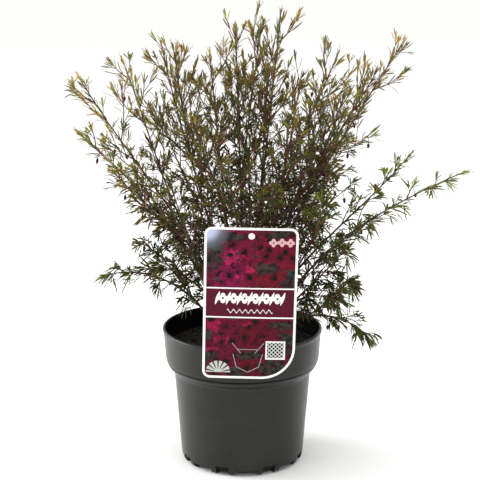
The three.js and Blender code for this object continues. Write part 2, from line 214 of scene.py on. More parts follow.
def mapRange(value, low, high, toLow=0.0, toHigh=1.0):
    inputs = {0: value, 1: low, 2: high, 3: toLow, 4: toHigh}
    return output(addNode(value.tree, "MapRange", inputs, interpolation_type="SMOOTHSTEP"))


def noise(vector, scale, detail=2.0, roughness=0.5, name="Fac"):
    inputs = {"Vector": vector, "Scale": scale, "Detail": detail, "Roughness": roughness}
    return output(addNode(vector.tree, "TexNoise", inputs), name)


def axes(vector):
    # x, y and z of a vector
    made = addNode(vector.tree, "SeparateXYZ", {0: vector})
    return [output(made, number) for number in range(3)]


def bump(height, strength, distance):
    inputs = {"Height": height, "Strength": strength, "Distance": distance}
    return output(addNode(height.tree, "Bump", inputs))


def newMaterial(name):
    material = bpy.data.materials.new(name)
    material.use_nodes = True
    tree = material.node_tree
    return material, tree, tree.nodes["Principled BSDF"]


def objectCoordinates(tree):
    return output(addNode(tree, "TexCoord"), "Object")


def attributeValue(tree, name):
    return output(addNode(tree, "Attribute", attribute_name=name), "Fac")


def newGroup(name, inputs, outputs):
    # inputs with their first values, or None for a vector; all the outputs are plain numbers
    tree = bpy.data.node_groups.new(name, "ShaderNodeTree")
    for socketName, value in inputs.items():
        kind = "NodeSocketVector" if value is None else "NodeSocketFloat"
        socket = tree.interface.new_socket(socketName, in_out="INPUT", socket_type=kind)
        if value is not None:
            socket.default_value = value
    for socketName in outputs:
        tree.interface.new_socket(socketName, in_out="OUTPUT", socket_type="NodeSocketFloat")
    start = tree.nodes.new("NodeGroupInput")
    end = tree.nodes.new("NodeGroupOutput")
    return tree, [output(start, socketName) for socketName in inputs], end


def useGroup(tree, group, inputs):
    # the group's outputs, in their order
    made = tree.nodes.new("ShaderNodeGroup")
    made.node_tree = group
    feed(made, inputs)
    return [Wire(socket) for socket in made.outputs]


# Camera, lights and floor

studio = {
    "cameraPlace": (-2.5, -1735.0, 683.4),
    "cameraPitch": 14.3,
    "lens": 127.3,
    "skyStrength": 1.04,
    "skyColour": (1.0, 1.0, 1.0),
    "floorColour": (0.94, 0.94, 0.93),
    "floorReach": 14.0,
    # name: place, size, power in watts, all in metres, aimed at the plant's middle
    "lamps": {
        "leftPanel": ((-1.5, 0.3, 0.5), 1.0, 30.0),
        "rightPanel": ((1.7, 0.6, 0.6), 0.9, 1.0),
        "topPanel": ((0.2, -0.3, 2.1), 1.4, 14.0),
    },
    "lampAim": (0.0, 0.0, 0.24),
}


def makeStudio():
    scene = bpy.context.scene
    scene.view_settings.view_transform = "Standard"
    camera = bpy.data.objects.new("camera", bpy.data.cameras.new("camera"))
    camera.location = [value * mm for value in studio["cameraPlace"]]
    camera.rotation_euler = (math.radians(90.0 - studio["cameraPitch"]), 0.0, 0.0)
    camera.data.lens = studio["lens"]
    camera.data.sensor_width = 36.0
    camera.data.clip_end = 60.0
    scene.collection.objects.link(camera)
    scene.camera = camera

    world = bpy.data.worlds.new("softSky")
    world.use_nodes = True
    background = world.node_tree.nodes["Background"]
    feed(background, {"Color": studio["skyColour"], "Strength": studio["skyStrength"]})
    scene.world = world

    for name, (place, size, power) in studio["lamps"].items():
        lamp = bpy.data.lights.new(name, "AREA")
        lamp.shape = "DISK"
        lamp.size = size
        lamp.energy = power
        holder = bpy.data.objects.new(name, lamp)
        holder.location = place
        aim = np.array(studio["lampAim"]) - np.array(place)
        level = math.hypot(aim[0], aim[1])
        holder.rotation_euler = (math.atan2(level, -aim[2]), 0.0, math.atan2(aim[1], aim[0]) - math.pi / 2)
        scene.collection.objects.link(holder)

    reach = studio["floorReach"]
    corners = [(-reach, -reach, 0.0), (reach, -reach, 0.0), (reach, reach, 0.0), (-reach, reach, 0.0)]
    floorMesh = bpy.data.meshes.new("floor")
    floorMesh.from_pydata(corners, [], [(0, 1, 2, 3)])
    paper, tree, shader = newMaterial("palePaper")
    pale = studio["floorColour"]
    colour = mixColours(noise(objectCoordinates(tree), 1.5), pale, [0.985 * value for value in pale])
    feed(shader, {"Base Color": colour, "Roughness": 0.9, "Specular IOR Level": 0.1})
    floorMesh.materials.append(paper)
    floor = bpy.data.objects.new("floor", floorMesh)
    scene.collection.objects.link(floor)
    print("studio made")


# Effects that several materials share

def makeMottleGroup():
    # fine and broad noise added up, for uneven tone, roughness and a shallow relief
    tree, (vector, scale, broad), end = newGroup(
        "mottle", {"Vector": None, "Scale": 200.0, "Broad": 0.5}, ["Tone", "Fine"])
    fine = noise(vector, scale, 3.0)
    tone = noise(vector, scale * 0.12) * broad + fine * (1.0 - broad)
    feed(end, {"Tone": mapRange(tone, 0.3, 0.7), "Fine": fine})
    return tree


def makeDustGroup():
    # dust lies where the surface looks up, in patches
    tree, (vector, amount, scale), end = newGroup(
        "dusting", {"Vector": None, "Amount": 0.2, "Scale": 120.0}, ["Dust"])
    facing = axes(output(addNode(tree, "NewGeometry"), "Normal"))[2]
    patches = noise(vector, scale, 5.0, 0.65)
    spread = mapRange(patches, 0.45, 0.75) * mapRange(facing, -0.2, 0.9, 0.15, 1.0)
    feed(end, {"Dust": calc("MULTIPLY", spread, amount, clamp=True)})
    return tree


mottle = makeMottleGroup()
dusting = makeDustGroup()


def mottled(vector, scale, broad):
    # the tone and the fine noise of the mottle at one size
    return useGroup(vector.tree, mottle, {"Vector": vector, "Scale": scale, "Broad": broad})


# The pot

pot = {
    # radius, height and how much of each corner is rounded off, up the outside and down the inside
    "profile": [
        (0.0, 0.0, 0.0), (64.9, 0.0, 7.4), (72.9, 99.3, 3.0), (78.6, 104.9, 2.6), (81.7, 111.2, 5.0),
        (84.0, 141.2, 0.8), (85.0, 143.4, 1.0), (84.9, 146.5, 1.3), (82.3, 146.5, 1.1), (82.2, 143.6, 1.2),
        (80.2, 111.8, 5.0), (76.9, 106.3, 2.4), (71.4, 100.6, 3.0), (63.6, 2.0, 7.0), (0.0, 2.0, 0.0),
    ],
    "cornerSteps": 6,
    "wallSteps": 5,
    "segments": 192,
    # width, height and place of the drain notches, in turns of one eighth
    "notches": [(14.0, 10.0, 0.5), (25.0, 6.0, 0.0)],
    "notchCount": 8,
    "notchInner": 50.0,
    "notchOuter": 70.0,
    "notchAzimuth": -86.7,
    "colour": (0.0085, 0.0082, 0.0075),
    "paleColour": (0.014, 0.0135, 0.0125),
    "scuffColour": (0.06, 0.06, 0.058),
    "dustColour": (0.07, 0.058, 0.043),
    "roughness": (0.28, 0.38),
    "shine": 0.28,
    # the inside above the soil, with painted shade from the leaves above it: radius at a height, its slope,
    # and how dark and dull the painted shade makes it
    "inside": (80.9, 111.0, 0.0715),
    "paintedInsideShade": 0.3,
    "insideShine": 0.06,
}


def roundedOutline(profile, cornerSteps, wallSteps):
    # each corner is a quadratic curve between points set back from it, and each wall has even steps
    corners = np.array(profile)
    places, cuts = corners[:, :2], corners[:, 2]
    outline = [places[:1]]
    share = np.linspace(0.0, 1.0, cornerSteps + 1)[:, None]
    for i in range(1, len(places) - 1):
        before = unit(places[i - 1] - places[i]) * cuts[i] + places[i]
        after = unit(places[i + 1] - places[i]) * cuts[i] + places[i]
        arc = (1 - share) ** 2 * before + 2 * share * (1 - share) * places[i] + share ** 2 * after
        wall = lerp(outline[-1][-1], before, np.linspace(0.0, 1.0, wallSteps + 1)[1:-1, None])
        outline += [wall, arc]
    outline += [places[-1:]]
    return np.concatenate(outline)


def turnedPart(outline, segments, material=0):
    # each outline point (radius, height) runs round the axis, and its ends on the axis are single points
    angles = np.linspace(0.0, 2 * math.pi, segments, endpoint=False)
    rings = outline[1:-1]
    points = np.stack([rings[:, :1] * np.cos(angles), rings[:, :1] * np.sin(angles),
                       np.repeat(rings[:, 1:], segments, axis=1)], axis=-1).reshape(-1, 3)
    poles = np.array([[0.0, 0.0, outline[0, 1]], [0.0, 0.0, outline[-1, 1]]])
    here = np.arange(segments)
    after = (here + 1) % segments
    last = (len(rings) - 1) * segments
    low = np.stack([after, here, np.full(segments, len(points))], axis=-1)
    high = np.stack([last + here, last + after, np.full(segments, len(points) + 1)], axis=-1)
    return {
        "points": np.concatenate([points, poles]),
        "faces": [quadGrid(len(rings), segments, True), low, high],
        "material": material,
    }


def notchCutters():
    # a row of boxes, each turned about the pot's axis to its place
    box = np.array([(x, y, z) for x in (0, 1) for y in (-0.5, 0.5) for z in (-1, 1)], dtype=float)
    faces = np.array([(0, 1, 3, 2), (4, 6, 7, 5), (0, 4, 5, 1), (2, 3, 7, 6), (0, 2, 6, 4), (1, 5, 7, 3)])
    parts = []
    for width, height, place in pot["notches"]:
        turns = math.radians(pot["notchAzimuth"]) + (np.arange(pot["notchCount"]) + place) * math.pi / 4
        for turn in turns:
            x = lerp(pot["notchInner"], pot["notchOuter"], box[:, 0])
            y = box[:, 1] * width
            points = np.stack([x * math.cos(turn) - y * math.sin(turn),
                               x * math.sin(turn) + y * math.cos(turn), box[:, 2] * height], axis=-1)
            parts.append({"points": points, "faces": [faces]})
    return bpy.data.objects.new("notchCutters", makeMesh("notchCutters", parts, []))


def potMaterial():
    material, tree, shader = newMaterial("potPlastic")
    coordinates = objectCoordinates(tree)
    x, y, z = axes(coordinates)
    _, fine = mottled(coordinates, 420.0, 0.7)
    cloud, _ = mottled(coordinates, 90.0, 0.6)
    stretched = output(addNode(tree, "Mapping", {"Vector": coordinates, "Scale": (60.0, 60.0, 600.0)}))
    rubbed = mapRange(noise(stretched, 1.0, 4.0), 0.62, 0.8)
    dust, = useGroup(tree, dusting, {"Vector": coordinates, "Amount": 0.28, "Scale": 55.0})
    plain = mixColours(cloud, pot["colour"], pot["paleColour"])
    dusty = mixColours(dust, mixColours(rubbed * 0.25, plain, pot["scuffColour"]), pot["dustColour"])
    # painted shade on the inside above the soil, where the radius is below r0 + slope (z - z0), above the
    # collar's foot: the colour is darkened and the reflection weakened there
    wall, level, slope = pot["inside"]
    within = calc("LESS_THAN", hypotenuse(x, y), z * slope + (wall - slope * level) * mm)
    inside = within * calc("GREATER_THAN", z, (level - 3.0) * mm)
    feed(shader, {
        "Base Color": mixColours(1.0, dusty, inside * (pot["paintedInsideShade"] - 1.0) + 1.0, "MULTIPLY"),
        "Specular IOR Level": inside * (pot["insideShine"] - pot["shine"]) + pot["shine"],
        "Roughness": calc("ADD", mapRange(cloud, 0.0, 1.0, *pot["roughness"]), dust * 0.5, clamp=True),
        "Normal": bump(fine, 0.08, 0.0004),
    })
    return material


def makePot():
    outline = roundedOutline(pot["profile"], pot["cornerSteps"], pot["wallSteps"])
    mesh = makeMesh("nurseryPot", [turnedPart(outline, pot["segments"])], [potMaterial()])
    piece = makePiece("nurseryPot", mesh, "pot")
    cutters = notchCutters()
    bpy.context.scene.collection.objects.link(cutters)
    cut = piece.modifiers.new("notches", "BOOLEAN")
    cut.operation = "DIFFERENCE"
    cut.solver = "EXACT"
    cut.use_self = True
    cut.object = cutters
    applyModifiers(piece)
    bpy.data.objects.remove(cutters)
    piece.data.set_sharp_from_angle(angle=math.radians(40.0))
    print("pot made,", len(piece.data.polygons), "faces")


# The potting mix

mix = {
    "edgeRadius": 80.7,
    "edgeHeight": 126.0,
    "mound": 4.2,
    "low": 2.3,
    "segments": 168,
    "rings": 52,
    "lumps": [(9.0, 2.2), (4.0, 1.5), (1.9, 0.8)],   # size and height of the unevenness
    "crumbs": 1500,
    "crumbSize": (0.6, 2.2),
    "chips": 160,
    "chipSize": (2.0, 6.0),
    "perlite": 26,
    "perliteSize": (1.1, 2.6),
    "paleGrainPlace": (-43.0, 22.0),   # one pale grain that stands out at the back left
    "seed": 7,
    "peat": [(0.003, 0.0025, 0.002), (0.009, 0.0075, 0.006)],
    "dryBit": (0.03, 0.024, 0.018),
    "bark": [(0.012, 0.007, 0.004), (0.035, 0.021, 0.013)],
    "stone": [(0.35, 0.34, 0.32), (0.6, 0.59, 0.56)],
}


def latticeNoise(x, y, size, seed):
    # a random height at each lattice point, blended by 3s^2 - 2s^3 between the four neighbours
    table = np.random.default_rng(seed).random((64, 64))
    u, v = x / size, y / size
    i, j = np.floor(u).astype(int), np.floor(v).astype(int)
    s, t = smooth(0.0, 1.0, u - i), smooth(0.0, 1.0, v - j)
    low = lerp(table[i % 64, j % 64], table[(i + 1) % 64, j % 64], s)
    high = lerp(table[i % 64, (j + 1) % 64], table[(i + 1) % 64, (j + 1) % 64], s)
    return lerp(low, high, t) - 0.5


def mixHeight(x, y):
    # a low mound, flat at the pot's wall, with three sizes of lump that fade out at the wall
    radius = np.hypot(x, y) / mix["edgeRadius"]
    height = mix["edgeHeight"] + mix["mound"] * (1.0 - np.minimum(radius, 1.0) ** 2)
    fade = 1.0 - smooth(0.93, 1.0, radius)
    for number, (size, depth) in enumerate(mix["lumps"]):
        height = height + depth * fade * latticeNoise(x + 200.0, y + 200.0, size, mix["seed"] + number)
    return height


def grainParts(count, sizes, stretch, material, rng, places=None):
    # octahedra with their corners moved at random, turned at random and half sunk in the surface
    radius = 0.94 * mix["edgeRadius"] * np.sqrt(rng.random(count))
    angle = rng.random(count) * 2 * math.pi
    x, y = radius * np.cos(angle), radius * np.sin(angle)
    if places is not None:
        x[:len(places)], y[:len(places)] = places[:, 0], places[:, 1]
    size = lerp(sizes[0], sizes[1], rng.random(count) ** 2)
    corners = np.array([(1, 0, 0), (0, 1, 0), (-1, 0, 0), (0, -1, 0), (0, 0, 1), (0, 0, -1)], dtype=float)
    faces = np.array([(0, 1, 4), (1, 2, 4), (2, 3, 4), (3, 0, 4),
                      (1, 0, 5), (2, 1, 5), (3, 2, 5), (0, 3, 5)])
    shape = corners[None] * rng.uniform(0.65, 1.2, (count, 6, 1)) * np.array([stretch, 1.0, 0.7])
    turn = rng.random(count) * 2 * math.pi
    tilt = rng.normal(0.0, 0.35, count)
    cos, sin = np.cos(turn)[:, None], np.sin(turn)[:, None]
    tipped = shape[..., 2] + shape[..., 0] * np.sin(tilt)[:, None]
    points = np.stack([shape[..., 0] * cos - shape[..., 1] * sin, shape[..., 0] * sin + shape[..., 1] * cos,
                       tipped], axis=-1)
    points = 0.5 * size[:, None, None] * points
    centre = np.stack([x, y, mixHeight(x, y) + 0.15 * size], axis=-1)
    index = faces[None] + 6 * np.arange(count)[:, None, None]
    return {"points": (points + centre[:, None]).reshape(-1, 3), "faces": [index.reshape(-1, 3)],
            "material": material}


def mixMaterial():
    material, tree, shader = newMaterial("pottingMix")
    coordinates = objectCoordinates(tree)
    tone, fine = mottled(coordinates, 900.0, 0.35)
    cells = output(addNode(tree, "TexVoronoi", {"Vector": coordinates, "Scale": 520.0}), "Color")
    bits = mapRange(output(addNode(tree, "SeparateColor", {0: cells})), 0.9, 0.97)
    feed(shader, {
        "Base Color": mixColours(bits, mixColours(tone, *mix["peat"]), mix["dryBit"]),
        "Roughness": 0.9,
        "Specular IOR Level": 0.25,
        "Normal": bump(fine, 0.8, 0.0008),
    })
    return material


def grainMaterial(name, colours, roughness):
    material, tree, shader = newMaterial(name)
    tone, fine = mottled(objectCoordinates(tree), 700.0, 0.4)
    feed(shader, {"Base Color": mixColours(tone, *colours), "Roughness": roughness,
                  "Normal": bump(fine, 0.5, 0.0003)})
    return material


def makeMix():
    # rings run in from the wall over the mound; the sides and the base follow the pot's inside
    side = [(0.0, mix["low"], 0.0), (63.1, mix["low"] + 0.2, 7.0), (71.0, 100.6, 3.0), (76.2, 106.8, 2.4),
            (79.6, 112.4, 3.0), (mix["edgeRadius"], mix["edgeHeight"], 0.0)]
    walls = roundedOutline(side, 3, 2)[:-1]
    top = np.linspace(mix["edgeRadius"], 0.0, mix["rings"])
    outline = np.concatenate([walls, np.stack([top, np.full_like(top, mix["edgeHeight"])], axis=-1)])
    body = turnedPart(outline, mix["segments"])
    points = body["points"]
    surface = points[:, 2] >= mix["edgeHeight"]
    points[surface, 2] = mixHeight(points[surface, 0], points[surface, 1])
    rng = np.random.default_rng(mix["seed"])
    parts = [
        body,
        grainParts(mix["crumbs"], mix["crumbSize"], 1.0, 0, rng),
        grainParts(mix["chips"], mix["chipSize"], 1.0 / 0.35, 1, rng),
        grainParts(mix["perlite"], mix["perliteSize"], 1.0, 2, rng, np.array([mix["paleGrainPlace"]])),
    ]
    materials = [mixMaterial(), grainMaterial("barkChip", mix["bark"], 0.85),
                 grainMaterial("perliteGrain", mix["stone"], 0.7)]
    mesh = makeMesh("pottingMix", parts, materials)
    makePiece("pottingMix", mesh, "soil")
    print("potting mix made,", len(mesh.polygons), "faces")


# The label: a printed sheet over the rim

label = {
    "width": 94.2,
    "height": 162.4,
    "thickness": 0.8,
    "bevel": 0.16,
    "bottom": 115.9,
    "footX": 5.7,
    "corner": 8.0,
    "largeCorner": 34.0,
    "roll": 1.3,
    "lean": 4.0,
    "bow": 0.9,
    "stripWidth": 5.0,
    "holeRadius": 2.6,
    "hole": (0.0, 153.6),
    "discGap": 0.12,
    "fold": 32.1,
    "hookX": -1.0,
    "hookWidth": 16.0,
    "hookDrop": 17.0,
    "hookReach": 6.3,
    "hookSeat": 31.05,
    "clip": [(-15.0, -5.5), (-11.5, -19.0), (0.0, -25.0), (11.5, -19.0), (15.0, -5.5)],
    "nicks": [[(-16.0, 6.6), (-7.5, -3.7)], [(16.0, 6.6), (7.5, -3.7)]],   # short cuts beside the fold
    "crease": [(-10.5, 0.0), (10.5, 0.0)],
    "slit": 0.32,
    "arcSteps": 16,
}

labelPrint = {
    "border": 2.5,
    "band": (67.6, 97.4),
    "rule": 1.5,
    "crease": 0.42,
    "holeMark": 3.3,
    "panelCentre": (27.0, 31.5),
    "panelHalf": 10.0,
    "panelFrame": 1.5,
    "trellisPitch": 4.2,
    "friezeReach": 36.0,
    "friezePitch": 11.0,
    "friezeHeight": 87.4,
    "friezeLeaf": (7.6, 1.5),
    "friezeFlower": 5.5,
    "waveReach": 23.0,
    "waveHeight": 73.6,
    "sprigPlaces": [(22.0, 147.0), (30.5, 147.4), (39.0, 147.0)],
    "shellCentre": (-31.0, 6.6),
    "shellSize": (12.5, 12.5),
    "white": (0.9, 0.9, 0.88),
    "maroon": (0.085, 0.005, 0.02),
    "sprig": (0.72, 0.42, 0.43),
    "shell": (0.5, 0.54, 0.5),
    "lattice": [(0.012, 0.014, 0.013), (0.6, 0.62, 0.6)],
    "creaseColour": (0.45, 0.47, 0.46),
    "leafGround": [(0.004, 0.005, 0.005), (0.03, 0.042, 0.03)],
    "magenta": (0.25, 0.007, 0.075),
    "crimson": (0.2, 0.006, 0.016),
    "eye": (0.006, 0.003, 0.004),
    # layers of flowers, the last on top: cell, reach, eye, shift, brightness
    "flowers": [(12.0, 10.0, 2.1, (31.0, 17.0, 0.0), 0.7), (15.0, 12.5, 2.5, (5.0, 71.0, 0.0), 0.85),
                (16.5, 11.5, 2.6, (57.0, 9.0, 0.0), 1.0)],
    # light in the upper left corner: how far it reaches, where it is full, its colour
    "cornerLight": [(30.0, 12.0, (0.16, 0.19, 0.22)), (19.0, 9.0, (0.5, 0.57, 0.74))],
    # where the picture has no petals and where they are brightest: x, z, reach across, reach up
    "shadows": [(-37, 133, 10, 17), (17, 120, 13, 6.5), (38, 103, 9, 5), (30, 156, 17, 4),
                (-22, 152, 14, 4.5), (33, 58, 13, 4.5), (38, 38, 9, 12), (27, 13, 16, 8),
                (0, 26, 13, 4.5), (-40, 23, 8, 6), (-43, 48, 5, 6), (-12, 7, 7, 5)],
    "glints": [(-38, 58, 8, 7), (-29, 43, 7, 5), (-39, 31, 7, 3), (-11, 111, 4, 3), (2, 119, 8, 4),
               (-20, 131, 9, 8), (-2, 60, 6, 2.5)],
}


def arcPoints(centreX, centreZ, radius, fromDegrees, toDegrees, steps):
    # points at even angles round a centre
    angles = np.radians(np.linspace(fromDegrees, toDegrees, steps + 1))
    return np.stack([centreX + radius * np.cos(angles), centreZ + radius * np.sin(angles)], axis=-1)


def labelOutlines():
    half, high, small, large = 0.5 * label["width"], label["height"], label["corner"], label["largeCorner"]
    steps = label["arcSteps"]
    sheet = np.concatenate([
        arcPoints(half - large, large, large, -90, 0, 2 * steps),
        arcPoints(half - small, high - small, small, 0, 90, steps),
        arcPoints(-half + small, high - small, small, 90, 180, steps),
        arcPoints(-half + small, small, small, 180, 270, steps),
    ])
    hole = arcPoints(*label["hole"], label["holeRadius"], 0, 360, 2 * steps)[:-1]
    lines = [np.array(label["clip"])] + [np.array(nick) for nick in label["nicks"]]
    cuts = []
    for line in lines:
        there = line + np.array([label["hookX"], label["fold"]])
        cuts.append(np.concatenate([there, (there + np.array([0.0, label["slit"]]))[::-1]]))
    disc = arcPoints(*label["hole"], label["holeRadius"] - label["discGap"], 0, 360, 2 * steps)[:-1]
    return [sheet, hole, disc] + cuts


def labelPlace(points):
    # local x across, y back and z up; the sheet bows, turns, leans and stands in front of the rim
    roll, lean = math.radians(label["roll"]), math.radians(label["lean"])
    x, z = points[:, 0], points[:, 2]
    y = points[:, 1] + label["bow"] * (x / (0.5 * label["width"])) ** 2
    rolledX = x * math.cos(roll) + z * math.sin(roll)
    rolledZ = z * math.cos(roll) - x * math.sin(roll)
    leanY = y * math.cos(lean) - rolledZ * math.sin(lean)
    leanZ = y * math.sin(lean) + rolledZ * math.cos(lean)
    hookRise = pot["profile"][7][1] - label["bottom"]
    foot = np.array([label["footX"], hookRise * math.sin(lean) - 85.0 - 0.3, label["bottom"]])
    return np.stack([rolledX, leanY, leanZ], axis=-1) + foot


def flowerGroup():
    # four broad petals round each cell's own centre: reach falls by a power of |cos 2a| between them
    tree, (vector, cell, reach, eye), end = newGroup(
        "flowerField", {"Vector": None, "Cell": 12.0, "Reach": 7.0, "Eye": 1.8},
        ["Petal", "Eye", "Chance", "Span"])
    cells = addNode(tree, "TexVoronoi", {"Vector": vector, "Scale": 1.0 / cell, "Randomness": 0.85},
                    voronoi_dimensions="2D")
    offset = calcVector("SUBTRACT", {0: vector, 1: output(cells, "Position")})
    x, y, _ = axes(offset)
    colour = addNode(tree, "SeparateColor", {0: output(cells, "Color")})
    turn, size, chance = (output(colour, number) for number in range(3))
    lobes = abs(calc("COSINE", calc("ARCTAN2", y, x) * 2.0 + turn * 6.28)) ** 0.55
    edge = reach * (size * 0.35 + 0.75) * (lobes * 0.5 + 0.5)
    radius = calcVector("LENGTH", {0: offset}, "Value")
    feed(end, {"Petal": mapRange(edge - radius, -0.15, 0.35), "Eye": mapRange(eye - radius, -0.2, 0.35),
               "Chance": chance, "Span": calc("DIVIDE", radius, edge, clamp=True)})
    return tree


def insideBox(x, z, centre, halves, edge):
    # 1 within the box round a centre, 0 outside, with a soft edge
    across, along = halves[0] - abs(x - centre[0]), halves[1] - abs(z - centre[1])
    return mapRange(calc("MINIMUM", across, along), -edge, edge)


def edgeGap(x, z):
    # how far a point lies inside the rounded outline: r - |max(q, 0)| - min(max(qx, qz), 0), where q is
    # the distance past the corner centre and the corner at the lower right has its own radius r
    half, middle = 0.5 * label["width"], 0.5 * label["height"]
    lowerRight = calc("GREATER_THAN", x, 0.0) * calc("LESS_THAN", z, middle)
    radius = lowerRight * (label["largeCorner"] - label["corner"]) + label["corner"]
    across, along = abs(x) - half + radius, abs(z - middle) - middle + radius
    past = hypotenuse(calc("MAXIMUM", across, 0.0), calc("MAXIMUM", along, 0.0))
    return radius - past - calc("MINIMUM", calc("MAXIMUM", across, along), 0.0)


def lineMask(flat, start, end, half):
    # 1 near the straight line from start to end: the nearest point on it is start + h (end - start)
    line = np.array(end) - np.array(start)
    offset = calcVector("SUBTRACT", {0: flat, 1: (*start, 0.0)})
    dot = calcVector("DOT_PRODUCT", {0: offset, 1: (*line, 0.0)}, "Value")
    share = calc("DIVIDE", dot, float(line @ line), clamp=True)
    nearest = calcVector("SCALE", {0: (*line, 0.0), "Scale": share})
    return mapRange(calcVector("DISTANCE", {0: offset, 1: nearest}, "Value"), half + 0.15, half - 0.15)


def creaseMask(flat):
    # the outline of the clip, its two nicks and the fold between them, drawn as thin lines
    creases = 0.0
    for line in [label["clip"], *label["nicks"], label["crease"]]:
        there = [(label["hookX"] + x, label["fold"] + z) for x, z in line]
        for start, end in zip(there[:-1], there[1:]):
            creases = calc("MAXIMUM", creases, lineMask(flat, start, end, labelPrint["crease"]))
    return creases


def softSpots(x, z, blur, spots):
    # 1 inside any of the ellipses, 0 outside, with edges that a noise tears
    drawn = 0.0
    for centreX, centreZ, across, high in spots:
        reach = ((x - centreX) / across) ** 2.0 + ((z - centreZ) / high) ** 2.0
        drawn = calc("MAXIMUM", drawn, mapRange(blur * 5.0 + reach, 3.9, 3.3))
    return drawn


def flowerMask(x, z, centre, reach):
    # four petals round a centre, which reach 0.45 + 0.55 sqrt |cos 2a| of the way, and a round eye
    localX, localZ = x - centre[0], z - centre[1]
    radius = hypotenuse(localX, localZ)
    lobes = calc("SQRT", abs(calc("COSINE", calc("ARCTAN2", localZ, localX) * 2.0)))
    petals = mapRange((lobes * 0.55 + 0.45) * reach - radius, -0.15, 0.15)
    return petals * mapRange(radius, 0.2 * reach - 0.1, 0.2 * reach + 0.1)


def friezeMask(x, z):
    # a flower in the middle of each pitch and a tilted leaf between every two, then a thin wave below
    pitch, level, waveReach = (labelPrint[name] for name in ("friezePitch", "friezeHeight", "waveReach"))
    flowerX = (calc("FRACT", x / pitch) - 0.5) * pitch
    flower = flowerMask(flowerX, z, (0.0, level), labelPrint["friezeFlower"])
    leafX, leafZ = x - calc("ROUND", x / pitch) * pitch, z - level
    long, wide = labelPrint["friezeLeaf"]
    taper = 1.0 - ((leafX * 0.3 + leafZ * 0.954) / long) ** 2.0
    leaf = mapRange(taper * wide - abs(leafX * 0.954 - leafZ * 0.3), -0.12, 0.12)
    inner = calc("LESS_THAN", abs(x), 3.0 * pitch)
    frieze = calc("MAXIMUM", flower * inner, leaf) * calc("LESS_THAN", abs(x), labelPrint["friezeReach"])
    waveGap = abs(z - labelPrint["waveHeight"] - calc("SINE", x * 1.05) * 1.7)
    wave = mapRange(waveGap, 0.85, 0.55) * mapRange(abs(x), waveReach + 0.1, waveReach)
    return calc("MAXIMUM", frieze, wave * 0.75)


def trellisMask(x, z):
    # crossed slanting bars: each family is |fract((x +- z) / pitch) - 0.5| below a share
    drawn = 0.0
    for slanted in (x + z, x - z):
        gap = abs(calc("FRACT", slanted / labelPrint["trellisPitch"]) - 0.5)
        drawn = calc("MAXIMUM", drawn, mapRange(gap, 0.17, 0.12))
    return drawn


def shellMask(x, z):
    # a half disc with ribs that fan out from the middle of its foot
    (centreX, centreZ), (wide, high) = labelPrint["shellCentre"], labelPrint["shellSize"]
    localX, localZ = (x - centreX) / wide, (z - centreZ) / high
    radius = hypotenuse(localX, localZ)
    ribs = mapRange(calc("COSINE", calc("ARCTAN2", localZ, localX) * 14.0), -0.75, -0.35)
    disc = mapRange(radius, 1.02, 0.98) * mapRange(localZ, -0.02, 0.02)
    return disc * calc("MAXIMUM", ribs, mapRange(radius, 0.36, 0.3))


def flowerPicture(flat, x, z):
    # layers of flowers over dark leaves: crimson, and magenta to the left, dimmer in the lower field
    half, high = 0.5 * label["width"], label["height"]
    streak, patches = noise(flat, 0.9), noise(flat, 0.22, 1.5)
    picture = mixColours(mapRange(noise(flat, 0.16, 3.0), 0.35, 0.65), *labelPrint["leafGround"])
    gone = softSpots(x, z, patches, labelPrint["shadows"])
    glint = softSpots(x, z, patches, labelPrint["glints"])
    upward = mapRange(z, 45.0, 95.0)
    leftward = mapRange(x, 0.5 * half, -0.8 * half) * (upward * 0.75 + 0.25)
    warp = noise(flat, 0.3, 1.0, name="Color")
    warped = calcVector("MULTIPLY_ADD", {0: warp, 1: (7.0, 7.0, 0.0), 2: flat})
    flowers = flowerGroup()
    for cell, reach, eye, shift, bright in labelPrint["flowers"]:
        moved = calcVector("ADD", {0: warped, 1: shift})
        petal, centre, chance, outward = useGroup(
            flat.tree, flowers, {"Vector": moved, "Cell": cell, "Reach": reach, "Eye": eye})
        crimson, magenta = ([bright * value for value in labelPrint[name]]
                            for name in ("crimson", "magenta"))
        colour = mixColours(leftward * 0.6 + chance * 0.4, crimson, magenta)
        light = (outward ** 1.6 * 0.8 + 0.4) * (streak * 0.9 + 0.5) * (upward * 0.36 + 0.64)
        shaded = mixColours(1.0, colour, light * (glint * 1.15 + 0.8), "MULTIPLY")
        there = petal * calc("GREATER_THAN", chance, 0.16) * (gone * -0.93 + 1.0)
        picture = mixColours(there, picture, mixColours(centre, shaded, labelPrint["eye"]))
    corner = calcVector("DISTANCE", {0: flat, 1: (-half, high, 0.0)}, "Value")
    for far, near, colour in labelPrint["cornerLight"]:
        picture = mixColours(mapRange(corner, far, near), picture, colour)
    return picture


